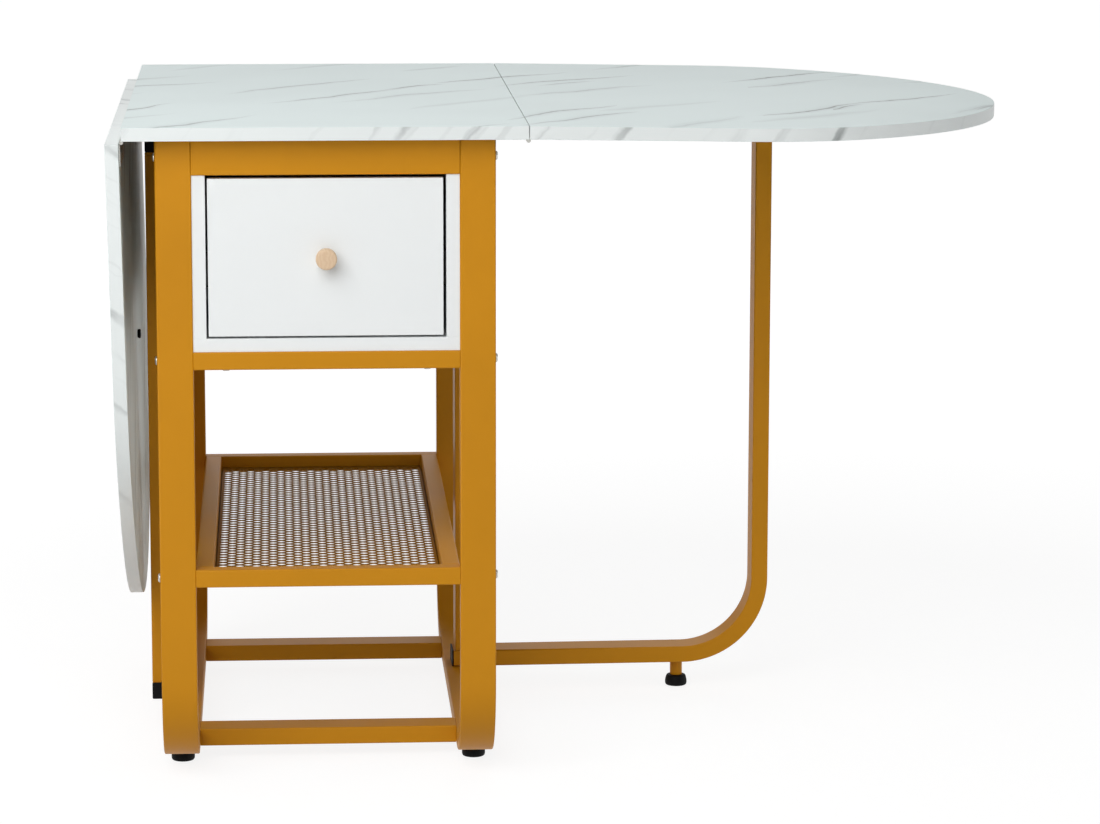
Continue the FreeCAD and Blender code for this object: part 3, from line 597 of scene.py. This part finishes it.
def gate_turn(side):
    """Rotation and pivot that place a gate drawn along +X with its pivot on the Z axis."""
    angle = math.radians(gate_angle[side])
    cos, sin = math.cos(angle), math.sin(angle)
    turn = np.array([[cos, sin, 0], [-sin, cos, 0], [0, 0, 1]])
    return turn, np.array(JOINTS[side + "_gate_swing"]["pos_m"]) * (1, 1, 0)


def points_of(obj):
    """A mesh's points as an (n, 3) array."""
    points = np.empty(len(obj.data.vertices) * 3)
    obj.data.vertices.foreach_get("co", points)
    return points.reshape(-1, 3)


def set_points(obj, points):
    """Put an array of points back; the object itself stays at the origin."""
    obj.data.vertices.foreach_set("co", np.ascontiguousarray(points).ravel())
    obj.data.update()
    return obj


def place_points(obj, turn, move):
    """Turn and move a mesh's points as one array."""
    return set_points(obj, points_of(obj) @ turn + move)


def local_box(cad_name, side):
    """Corners of a gate's CAD piece in the gate's own axes."""
    turn, move = gate_turn(side)
    local = (points_of(PARTS[cad_name]) - move) @ turn.T
    return local.min(0), local.max(0)


for side in ("left", "right"):
    turn, move = gate_turn(side)
    low, high = local_box("gate_loop_" + side, side)
    low_bar, upright = low[2] + TUBE_THIN / 2, high[0] - TUBE_THIN / 2
    corners = [(low[0], low_bar), (upright, low_bar), (upright, high[2])]
    loop = bent_tube("tube_gate_loop_" + side, corners, [(1, 0, 0), (0, 0, 1), (0, 1, 0)],
                     (low[1] + high[1]) / 2)
    dress(place_points(loop, turn, move), "gate_loop_" + side)
    for name, cad_name in (("tube_gate_post_", "gate_post_"), ("plate_gate_", "gate_plate_")):
        low, high = local_box(cad_name + side, side)
        block = skin(name + side, rounded_grid(low, high, "z", TUBE_CORNER, TUBE_END))
        dress(place_points(block, turn, move), cad_name + side)
print(f"a gate's upright stands {upright / MM:.1f} mm from its pivot")

# %% [markdown]
# ## Table boards
# The centre board and the two leaves are one thickness of marbled board. A leaf's outline is two
# straight sides, two shoulders and a broad tip, all meeting smoothly. It could be a curve through
# chosen points, but that would wave between them, so it is arcs of two radii that share their
# tangents. Its edge is only just broken, which gives the thin line of light round the top.

# %% Leaf outline
PIN = {side: np.array(JOINTS[side + "_leaf_hinge"]["pos_m"]) for side in ("left", "right")}
DROOP = math.radians(-JOINTS["right_leaf_hinge"]["range_deg"][0])
HANG = math.radians(JOINTS["left_leaf_hinge"]["range_deg"][1])
LEAF_ANGLE = {"right": DROOP, "left": HANG}
BOARD = 15 * MM
LEAF_LENGTH = 576 * MM
SEAM, SEAM_SEEN = 0.75 * MM, 0.3 * MM          # from the pin line to a board, in CAD and here
TIP_SHARE, SHOULDER_SHARE = 1.052, 0.658       # radii of the outline, as shares of half the depth
LEAF_CORNER = 0.8 * MM


def arc(centre, radius, start, end, steps):
    """Points and normals of a circle's arc, anticlockwise angles in radians."""
    angle = np.linspace(start, end, steps)
    normal = np.stack([np.cos(angle), np.sin(angle)], 1)
    return np.array(centre) + radius * normal, normal


def leaf_outline(half_depth):
    """Leaf seen from above with its pin line on the Y axis, anticlockwise from the near corner."""
    tip_radius, shoulder_radius = TIP_SHARE * half_depth, SHOULDER_SHARE * half_depth
    tip_x = LEAF_LENGTH - SEAM - tip_radius
    rise, step = tip_radius - shoulder_radius, half_depth - shoulder_radius
    shoulder_x = tip_x + math.sqrt(rise ** 2 - step ** 2)
    swing = math.atan2(step, shoulder_x - tip_x)
    quarter = math.pi / 2
    near_x, near_y = SEAM_SEEN + LEAF_CORNER, half_depth - LEAF_CORNER
    pieces = [arc((near_x, -near_y), LEAF_CORNER, -2 * quarter, -quarter, 5),
              arc((shoulder_x, -step), shoulder_radius, -quarter, -swing, 40),
              arc((tip_x, 0), tip_radius, -swing, swing, 64),
              arc((shoulder_x, step), shoulder_radius, swing, quarter, 40),
              arc((near_x, near_y), LEAF_CORNER, quarter, 2 * quarter, 5)]
    return np.vstack([p for p, _ in pieces]), np.vstack([n for _, n in pieces])


# %% Leaves and centre board
def lay_leaf(points, angle, side):
    """Points drawn from the pin line, turned down by an angle and put on the pin of that side."""
    x, y, z = points[..., 0], points[..., 1], points[..., 2]
    turned_x = x * math.cos(angle) + z * math.sin(angle)
    turned_z = z * math.cos(angle) - x * math.sin(angle)
    sign = 1 if side == "right" else -1
    return np.stack([sign * turned_x, y, turned_z], -1) + PIN[side]


def mark_board(board, flip=1, origin=(0, 0, 0)):
    """Attributes of a level board's points.

    Edge is 0 on both flat faces and 1 on the side between them. Flat is the point's place in the
    open table: flip mirrors the board and origin is where it is put.
    """
    points = points_of(board)
    height = points[:, 2]
    edge = np.clip(np.minimum(height - height.min(), height.max() - height) / BOARD_EDGE, 0, 1)
    board.data.attributes.new("edge", "FLOAT", "POINT").data.foreach_set("value", edge)
    flat = points * (flip, 1, 1) + origin
    board.data.attributes.new("flat", "FLOAT_VECTOR", "POINT").data.foreach_set("vector", flat.ravel())
    return board


top_low, top_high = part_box("centre_top")
half_depth = (top_high.y - top_low.y) / 2
under = top_low.z - PIN["right"][2]
outline, normals = leaf_outline(half_depth)
leaf_grid = block_grid(outline, normals, under, under + BOARD, BOARD_EDGE)
for side, angle in LEAF_ANGLE.items():
    leaf = mark_board(skin("board_leaf_" + side, leaf_grid), 1 if side == "right" else -1, PIN[side])
    set_points(leaf, lay_leaf(points_of(leaf), angle, side))
    dress(face_outwards(leaf), "leaf_" + side)
wider = np.array([SEAM - SEAM_SEEN, 0, 0])
centre_grid = rounded_grid(np.array(top_low) - wider, np.array(top_high) + wider, "z", BOARD_EDGE, BOARD_EDGE)
dress(mark_board(skin("board_centre_top", centre_grid)), "centre_top")
print("points of a leaf's outline:", len(outline))

# %% [markdown]
# ## Punched shelf
# The shelf is a thin sheet with staggered columns of six-sided holes. Boolean cuts could punch
# it, but they are slow and leave thin slivers. So one cell is drawn, as a ring of quads between
# the hole and the cell's edge, on both faces and down the hole's wall. The cell is then repeated
# by adding a whole array of offsets. Plain half cells fill the ends of the columns, and a rim
# goes round it all: a level strip, a step down and a ledge.


# %% Punched cells
RING = 8                        # points round a hole, and round the cell that holds it
SAME_CORNER = 2e-6              # metres within which corners of neighbouring cells are one


def punched_cells(low, high, half, counts, hole):
    """Points and quads of (columns, rows) of holed cells, given half a cell's size and the hole's."""
    border = np.array([(1, -1), (1, 0), (1, 1), (0, 1), (-1, 1), (-1, 0), (-1, -1), (0, -1)]) * half
    mouth = np.array([(1, -0.5), (1, 0), (1, 0.5), (0, 1), (-1, 0.5), (-1, 0), (-1, -0.5), (0, -1)])
    ring = np.vstack([border, mouth * hole / 2])
    here, after = np.arange(RING), (np.arange(RING) + 1) % RING
    face = np.stack([here, after, after + RING, here + RING], 1)
    wall = np.stack([here + RING, after + RING, after + 3 * RING, here + 3 * RING], 1)
    cell_faces = np.vstack([face, face[:, ::-1] + 2 * RING, wall])
    cell = np.vstack([np.column_stack([ring, np.full(2 * RING, z)]) for z in (high[2], low[2])])
    column, row = np.meshgrid(np.arange(counts[0]), np.arange(counts[1]), indexing="ij")
    x = low[0] + (2 * column + 1) * half[0]
    y = low[1] + (2 * row + 1 + column % 2) * half[1]
    offsets = np.stack([x, y, np.zeros_like(x)], -1).reshape(-1, 1, 3)
    first = 4 * RING * np.arange(len(offsets))[:, None, None]
    return (cell + offsets).reshape(-1, 3).tolist(), (cell_faces + first).reshape(-1, 4).tolist()


# %% Punched sheet
def punched_sheet(name, low, high, pitch, hole, margin, step, ledge):
    """Punched sheet whose pitch is eased so that whole cells fill it; columns stagger by half of it.

    The rim's level strip is as wide as margin, it drops by step, and the strip below is as wide as
    ledge.
    """
    outer, thick = margin + ledge, high[2] - low[2]
    low, high = low + (outer, outer, 0), high - (outer, outer, 0)
    size = (high - low)[:2]
    columns, rows = int(size[0] // pitch[0]), int(size[1] // pitch[1]) - 1
    half = size / (columns, rows + 1) / 2
    a, b = half
    points, faces = punched_cells(low, high, half, (columns, rows), np.array(hole))

    def add(new_points, new_faces):
        """Append points, and faces that count from the first of them."""
        faces.extend([len(points) + i for i in face] for face in new_faces)
        points.extend(np.reshape(new_points, (-1, 3)).tolist())

    for column in range(columns):
        x = low[0] + 2 * a * column
        first = (low[1], low[1] + b) if column % 2 else (high[1] - 2 * b, high[1] - b)
        for y, end in (first, (high[1] - b, high[1])):
            loop = [(x, y), (x + a, y), (x + 2 * a, y), (x + 2 * a, end), (x + a, end), (x, end)]
            for z, order in ((high[2], 1), (low[2], -1)):
                add([(*point, z) for point in loop], [range(6)[::order]])
    for axis, count in ((0, 2 * rows + 3), (1, 2 * columns + 1)):
        along = low[1 - axis] + np.arange(count) * half[1 - axis]
        for side in (low[axis], high[axis]):
            wall = np.empty((count, 2, 3))
            wall[..., axis], wall[..., 1 - axis], wall[..., 2] = side, along[:, None], (low[2], high[2])
            add(wall, [(2 * i, 2 * i + 2, 2 * i + 3, 2 * i + 1) for i in range(count - 1)])
    profile = np.array([(0, 0), (margin, 0), (margin, -step), (outer, -step), (outer, -step - thick),
                        (margin - thick, -step - thick), (margin - thick, -thick), (0, -thick)])
    count = len(profile)
    for axis in (0, 1):
        for sign, inner in ((-1, low[axis]), (1, high[axis])):
            rim = np.empty((2, count, 3))
            rim[..., axis], rim[..., 2] = inner + sign * profile[:, 0], high[2] + profile[:, 1]
            rim[..., 1 - axis] = [[low[1 - axis] - margin], [high[1 - axis] + margin]]
            add(rim, [*grid_faces(2, count).tolist(), range(count)[::-1], range(count, 2 * count)])
    return face_outwards(make_object(name, points, faces), SAME_CORNER)


SHEET_THICKNESS = 0.7 * MM
mesh_low, mesh_high = (np.array(corner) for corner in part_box("shelf_mesh"))
mesh_low[2] = mesh_high[2] - SHEET_THICKNESS
shelf = punched_sheet("punched_shelf", mesh_low, mesh_high, pitch=(9.4 * MM, 14.1 * MM),
                      hole=(8.3 * MM, 9.8 * MM), margin=2.5 * MM, step=4.0 * MM, ledge=1.8 * MM)
# The sheet's darker gold is painted shade, not a paint of its own.
dress(shelf, "shelf_mesh", finish=SHADED_SHEET_GOLD)
print("punched shelf faces:", len(shelf.data.polygons))

# %% [markdown]
# ## Turned pieces
# Knob, feet, bolt heads and screw heads are all round about an axis, so they share one helper: a
# profile of radius against height, carried round that axis. A Screw modifier could do as much,
# but a driver recess isn't round. Here it is the same surface, with its radius changed by a
# six-sided or a cross-shaped factor.


# %% Lathe helper
ON_AXIS = 1e-5                  # radius at which a profile ends


def basis(axis):
    """Three rows square to each other, the last of them along the axis."""
    axis = unit(np.array(axis, float))
    first = unit(np.cross((0, 0, 1) if abs(axis[2]) < 0.9 else (1, 0, 0), axis))
    return np.stack([first, np.cross(axis, first), axis])


def lathe_grid(profile, place, axis, segments=48, factor=None):
    """Profile of (radius, height) turned round an axis; factor scales chosen rows' radius by angle."""
    profile = np.array(profile, float)
    angle = np.arange(segments) / segments * 2 * math.pi
    radius = np.repeat(profile[:, :1], segments, 1)
    if factor is not None:
        rows, shape = factor
        radius[rows] *= shape(angle)
    local = np.stack([radius * np.cos(angle), radius * np.sin(angle),
                      np.repeat(profile[:, 1:], segments, 1)], -1)
    return local @ basis(axis) + np.array(place)


def hexagon(angle):
    """Radius of a regular hexagon against angle, 1 at its corners."""
    sector = (angle % (math.pi / 3)) - math.pi / 6
    return math.cos(math.pi / 6) / np.cos(sector)


def cross_slot(angle, waist=0.32):
    """Radius of a plus sign with rounded arms against angle: 1 at their ends, waist between them."""
    return waist + (1 - waist) * np.abs(np.cos(2 * angle)) ** 6


def smooth_profile(points, steps=6):
    """Quadratic curves between the middles of a profile's edges, which rounds its corners."""
    points = np.array(points, float)
    middles = (points[:-1] + points[1:]) / 2
    t = np.linspace(0, 1, steps)[:, None]
    curves = [(1 - t) ** 2 * a + 2 * t * (1 - t) * c + t ** 2 * b
              for a, c, b in zip(middles[:-1], points[1:-1], middles[1:])]
    return np.vstack([points[:1]] + curves + [points[-1:]])


def turned(profile, radius=1.0, height=1.0):
    """Rounded profile from shares of a radius and a height, led to the axis at both ends."""
    points = np.array(profile) * (radius, height)
    return smooth_profile([(ON_AXIS, points[0, 1]), *points, (ON_AXIS, points[-1, 1])])


# %% Knob
KNOB_SHARE = 0.95               # of the CAD knob's width
KNOB_PROFILE = [(0.60, 0), (0.58, 0.14), (0.64, 0.30), (0.98, 0.42), (1, 0.58), (1, 0.86), (0.95, 0.97),
                (0.7, 1)]
low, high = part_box("drawer_knob")
profile = turned(KNOB_PROFILE, KNOB_SHARE * (high.x - low.x) / 2, high.y - low.y)
knob_place = ((low.x + high.x) / 2, high.y, (low.z + high.z) / 2)
dress(skin("turned_knob", lathe_grid(profile, knob_place, (0, -1, 0), 72)), "drawer_knob")
print(f"knob {2 * profile[:, 0].max() / MM:.1f} mm wide")

# %% Feet: broken lower edge, straight wall, shoulder and top
FOOT_PROFILE = [(0.86, 0), (1, 0.14), (1, 0.5), (0.9, 0.86), (0.8, 1)]
feet = [name for name in PARTS if "foot_" in name]
for name in feet:
    low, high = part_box(name)
    place = ((low.x + high.x) / 2, (low.y + high.y) / 2, low.z)
    profile = turned(FOOT_PROFILE, (high.x - low.x) / 2, high.z - low.z)
    dress(skin("rubber_" + name, lathe_grid(profile, place, (0, 0, 1), 64)), name)
print("feet:", len(feet))

# %% [markdown]
# ## Fasteners
# Button-head bolts with a six-sided socket hold the aprons, drawer rails and shelf rails. The
# drawer rails, the knob, the hinges and the buffers have cross-head screws. A recess could be
# painted, but it would vanish up close. So all of them are turned profiles whose recess rows are
# not round, and the recess is real and catches the light. Fasteners of one CAD node stay one piece.


# %% Bolt and screw heads
RECESS_DEPTH, DOME_FOOT = 0.55, 0.3            # shares of a head's height
FLAT_RING, DRILL_POINT = 1.25, 0.3             # level crown and drilled floor, as shares of a recess


def head_grid(place, out, radius, height, shank, depth, recess, shape, segments=48):
    """Shank, rim, domed head and a recess, whose two wall rows follow a shape of the angle."""
    sweep = np.linspace(0, 1, 8) * math.acos(FLAT_RING * recess / radius)
    rise = DOME_FOOT * height
    dome = [(radius * math.cos(t), rise + (height - rise) * math.sin(t)) for t in sweep]
    crown = dome[-1][1]
    bottom = crown - RECESS_DEPTH * height
    profile = [(ON_AXIS, -depth), (shank, -depth), (shank, 0), (0.96 * radius, 0), (radius, 0.08 * height),
               *dome, (recess, crown), (recess, bottom), (ON_AXIS, bottom - DRILL_POINT * recess)]
    walls = [len(profile) - 3, len(profile) - 2]
    return lathe_grid(profile, place, out, segments, (walls, shape))


def middle_of(name):
    """Middle of a CAD piece's box."""
    low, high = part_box(name)
    return (np.array(low) + np.array(high)) / 2


# %% Frame bolts
BOLT = dict(radius=5.0 * MM, height=3.0 * MM, shank=3.0 * MM, depth=12.0 * MM, recess=2.5 * MM, shape=hexagon)
low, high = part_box("frame_bolts")
bolt_faces = ((-1, low.x + BOLT["height"]), (1, high.x - BOLT["height"]))
bolt_grids = []
for rail in ("apron", "drawer_rail", "shelf_rail"):
    for end in ENDS["x"]:
        _, y, z = middle_of(f"{rail}_{end}")
        bolt_grids += [head_grid((x, y, z), (out, 0, 0), **BOLT) for out, x in bolt_faces]
dress(skin("bolts_frame", *bolt_grids), "frame_bolts")
print("frame bolts:", len(bolt_grids))

# %% Screws under the drawer rails and behind the knob
SCREW = dict(radius=4.2 * MM, height=2.5 * MM, shank=2.0 * MM, depth=18.0 * MM, recess=2.604 * MM,
             shape=cross_slot)
low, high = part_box("rail_screws")
screw_x = (low.x + SCREW["radius"], high.x - SCREW["radius"])
screw_y = (low.y + SCREW["radius"], high.y - SCREW["radius"])
dress(skin("screws_rail", *[head_grid((x, y, low.z + SCREW["height"]), (0, 0, -1), **SCREW)
                            for x in screw_x for y in screw_y]), "rail_screws")
x, _, z = middle_of("knob_screw")
knob_screw = head_grid((x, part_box("knob_screw")[1].y - SCREW["height"], z), (0, 1, 0), **SCREW)
dress(skin("screw_knob", knob_screw), "knob_screw")
print("screws under the drawer rails:", len(screw_x) * len(screw_y))

# %% Hinge screws, drawn in the leaf's own axes under a plate that lies along the pin
HINGES, HINGE_LENGTH, HINGE_EDGE, HINGE_PLATE = 3, 115 * MM, 15 * MM, 1.5 * MM
HINGE_SPOTS = [(14 * MM, 0.14), (20 * MM, 0.5), (14 * MM, 0.86)]    # from the pin, share of the length
HINGE_SCREW = dict(radius=3.1 * MM, height=0.6 * MM, shank=1.6 * MM, depth=1.2 * MM, recess=1.86 * MM,
                   shape=cross_slot, segments=32)
hinge_starts = np.linspace(-half_depth + HINGE_EDGE, half_depth - HINGE_EDGE - HINGE_LENGTH, HINGES)
hinge_screws = [head_grid((x, start + share * HINGE_LENGTH, under - HINGE_PLATE), (0, 0, -1), **HINGE_SCREW)
                for start in hinge_starts for x, share in HINGE_SPOTS]
for side, angle in LEAF_ANGLE.items():
    grids = [lay_leaf(grid, angle, side) for grid in hinge_screws]
    dress(skin("screws_hinge_leaf_" + side, *grids), "hinge_leaf_plates_" + side, replace=False)
    grids = [lay_leaf(grid * (-1, 1, 1), 0.0, side) for grid in hinge_screws]
    dress(skin("screws_hinge_top_" + side, *grids), "hinge_top_plates", replace=False)
print("hinge screws along a board's edge:", len(hinge_screws))

# %% [markdown]
# ## Caps, bearings, stubs and buffers
# These small pieces close a tube's end, carry a pivot or a foot, or soften a touch. They could
# stay plain CAD solids, but moulded plastic has rounded edges, and a stub ends in a bead of weld.
# The helpers above make them all, with other sizes. The buffer under each leaf is a soft ring with
# a screw through its middle, sunk below the ring's face.

# %% End caps of the gate tubes
CAP, CAP_EDGE = 2.0 * MM, 0.7 * MM
for side in ("left", "right"):
    turn, move = gate_turn(side)
    low, high = local_box("gate_caps_" + side, side)
    tail_top = (low[0] + CAP, high[1], low[2] + TUBE_THIN)
    upright_low = (high[0] - TUBE_THIN, low[1], high[2] - CAP)
    caps = skin("caps_gate_" + side, rounded_grid(low, tail_top, "x", TUBE_CORNER, CAP_EDGE),
                rounded_grid(upright_low, high, "z", TUBE_CORNER, CAP_EDGE))
    dress(place_points(caps, turn, move), "gate_caps_" + side)
print("cap thickness, mm:", round(CAP / MM, 1))

# %% Stubs and bearing blocks
WELD = 1.6 * MM                 # height and width of the bead where a stub meets its tube
for side in ("left", "right"):
    low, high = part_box("gate_stub_" + side)
    radius, length = (high.x - low.x) / 2, high.z - low.z
    sweep = np.linspace(0, math.pi / 2, 6)
    bead = [(radius + WELD * (1 - math.cos(t)), length - WELD * (1 - math.sin(t))) for t in sweep]
    place = ((low.x + high.x) / 2, (low.y + high.y) / 2, low.z)
    grid = lathe_grid([(ON_AXIS, 0), (radius, 0), *bead, (ON_AXIS, length)], place, (0, 0, 1))
    dress(skin("stub_gate_" + side, grid), "gate_stub_" + side)
block_low, block_high = (np.array(corner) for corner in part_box("pivot_brackets"))
block_wide = block_high[0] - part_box("top_side_rail_right")[1].x
BLOCK_DEEP, BLOCK_EDGE = 25.5 * MM, 1.5 * MM
left_high = np.array([block_low[0] + block_wide, block_low[1] + BLOCK_DEEP, block_high[2]])
right_low = np.array([block_high[0] - block_wide, block_high[1] - BLOCK_DEEP, block_low[2]])
bearings = skin("blocks_pivot", rounded_grid(block_low, left_high, "z", BLOCK_EDGE, BLOCK_EDGE),
                rounded_grid(right_low, block_high, "z", BLOCK_EDGE, BLOCK_EDGE))
dress(bearings, "pivot_brackets")
print(f"bearing blocks {block_wide / MM:.1f} mm wide")

# %% Buffers
BUFFER_REACH, BUFFER_RADIUS, BUFFER_HEIGHT = 269 * MM, 5.5 * MM, 4 * MM
BUFFER_MOUTH, BUFFER_BORE, BUFFER_SEAT = 2.6 * MM, 2.2 * MM, 1.6 * MM
BUFFER_SCREW = dict(radius=1.9 * MM, height=0.8 * MM, shank=1.0 * MM, depth=1.2 * MM, recess=1.1 * MM,
                    shape=cross_slot, segments=32)
ring = lathe_grid(turned([(BUFFER_RADIUS, 0), (BUFFER_RADIUS, BUFFER_HEIGHT), (BUFFER_MOUTH, BUFFER_HEIGHT),
                          (BUFFER_BORE, BUFFER_SEAT)]), (BUFFER_REACH, 0, under), (0, 0, -1))
screw = head_grid((BUFFER_REACH, 0, under - BUFFER_SEAT), (0, 0, -1), **BUFFER_SCREW)
for side, angle in LEAF_ANGLE.items():
    dress(skin("ring_buffer_" + side, lay_leaf(ring, angle, side)), "leaf_bumper_" + side)
    dress(skin("screw_buffer_" + side, lay_leaf(screw, angle, side)), "hinge_leaf_plates_" + side,
          replace=False)
print(f"buffers {BUFFER_REACH / MM:.0f} mm from the pin line")

# %% [markdown]
# ## Camera, floor and light
# The view is from chest height and well back, so a long lens is used. The floor and the backdrop
# are one pale surface. Strong lamps could turn it white, but they would wash out the table too. So
# broad soft lamps light the table at a plain level, and the floor glows only where it is looked at.

# %% Camera
CAMERA_PLACE = (-0.331759, -4.938585, 1.233141)
YAW, PITCH, ROLL = math.radians(3.7663), math.radians(9.9666), math.radians(0.1081)   # right, down, tilt
camera = bpy.data.objects.new("camera", bpy.data.cameras.new("camera"))
camera.data.sensor_width, camera.data.lens = 36.0, 136.375      # millimetres
camera.data.clip_end = 60
camera.matrix_world = (Matrix.Translation(CAMERA_PLACE) @ Matrix.Rotation(-YAW, 4, "Z")
                       @ Matrix.Rotation(math.pi / 2 - PITCH, 4, "X") @ Matrix.Rotation(ROLL, 4, "Z"))
bpy.context.scene.collection.objects.link(camera)
bpy.context.scene.camera = camera
print(f"view {math.degrees(camera.data.angle):.1f} degrees wide")


# %% Floor
def seen_directly(tree):
    """1 for camera, glossy and transmission rays, 0 for the rays that carry light."""
    path = node(tree, "LightPath").outputs
    through = calc(tree, "MAXIMUM", path["Is Glossy Ray"], path["Is Transmission Ray"])
    return calc(tree, "MAXIMUM", path["Is Camera Ray"], through)


def pale_floor(bounce=0.8, near=1.0, far=3.2, near_glow=0.86, far_glow=0.97, shade=0.2):
    """Grey to the light that it throws back, white where it is looked at, with a soft shadow left.

    Its glow grows between the near and the far distance from the middle.
    """
    made, tree, shader = material("pale floor", Roughness=0.9, Specular_IOR_Level=0.0)
    shader.inputs["Base Color"].default_value = (bounce, bounce, bounce, 1)
    away = node(tree, "VectorMath", [(0, node(tree, "TexCoord").outputs["Object"])], operation="LENGTH")
    glow = node(tree, "MapRange", [("Value", away.outputs["Value"]), ("From Min", near), ("From Max", far),
                                   ("To Min", near_glow), ("To Max", far_glow)])
    light = node(tree, "Emission", [("Strength", glow.outputs[0])])
    shaded = node(tree, "BsdfDiffuse", [("Color", (shade, shade, shade, 1))])
    looked_at = node(tree, "AddShader", [(0, light.outputs[0]), (1, shaded.outputs[0])])
    both = node(tree, "MixShader", [(0, seen_directly(tree)), (1, shader.outputs[0]),
                                    (2, looked_at.outputs[0])])
    tree.links.new(both.outputs[0], tree.nodes["Material Output"].inputs["Surface"])
    return made


FLOOR_SIZE = 80
bpy.ops.mesh.primitive_plane_add(size=FLOOR_SIZE, location=(0, 0, 0))
floor = bpy.context.object
floor.name = "floor"
floor.data.materials.append(pale_floor())

# %% World and lamps
WORLD_LIGHT = 0.19
MIRRORED_FRONT, MIRRORED_BACK = 0.15, 0.45      # what glossy rays find before and behind the table
world = bpy.data.worlds.new("studio")
bpy.context.scene.world = world
world.use_nodes = True
tree = world.node_tree
toward = node(tree, "SeparateXYZ", [(0, node(tree, "TexCoord").outputs["Generated"])])
mirrored = node(tree, "MapRange", [("Value", toward.outputs["Y"]), ("From Min", -0.5), ("From Max", 0.4),
                                   ("To Min", MIRRORED_FRONT), ("To Max", MIRRORED_BACK)])
strength = node(tree, "MapRange", [("Value", seen_directly(tree)), ("To Min", WORLD_LIGHT),
                                   ("To Max", mirrored.outputs[0])])
strength = calc(tree, "MAXIMUM", strength.outputs[0], node(tree, "LightPath").outputs["Is Camera Ray"])
hand_to(tree, tree.nodes["Background"], Strength=strength)
tree.nodes["Background"].inputs["Color"].default_value = (1, 1, 1, 1)


def soft_lamp(name, place, aim, size, power):
    """Square area lamp that faces a point."""
    lamp = bpy.data.objects.new(name, bpy.data.lights.new(name, "AREA"))
    lamp.data.size, lamp.data.energy = size, power
    toward = np.array(aim, float) - np.array(place, float)
    rows = basis(-toward).T
    lamp.matrix_world = Matrix([[*row, p] for row, p in zip(rows, place)] + [[0, 0, 0, 1]])
    bpy.context.scene.collection.objects.link(lamp)


soft_lamp("front lamp", (-1.4, -2.65, 2.4), (-0.1, 0, 0.5), 3.0, 97)
soft_lamp("back lamp", (0.1, 3.6, 2.5), (0, 0, 0.4), 2.4, 25)
soft_lamp("top lamp", (-0.3, 0, 3.3), (-0.3, 0, 0), 1.6, 6)
soft_lamp("left lamp", (-3.3, 1.2, 1.8), (-0.3, 0, 0.4), 1.8, 10)
soft_lamp("right lamp", (3.4, -0.4, 0.8), (-0.3, 0, 0.4), 1.6, 22)
bpy.context.scene.view_settings.view_transform = "Standard"
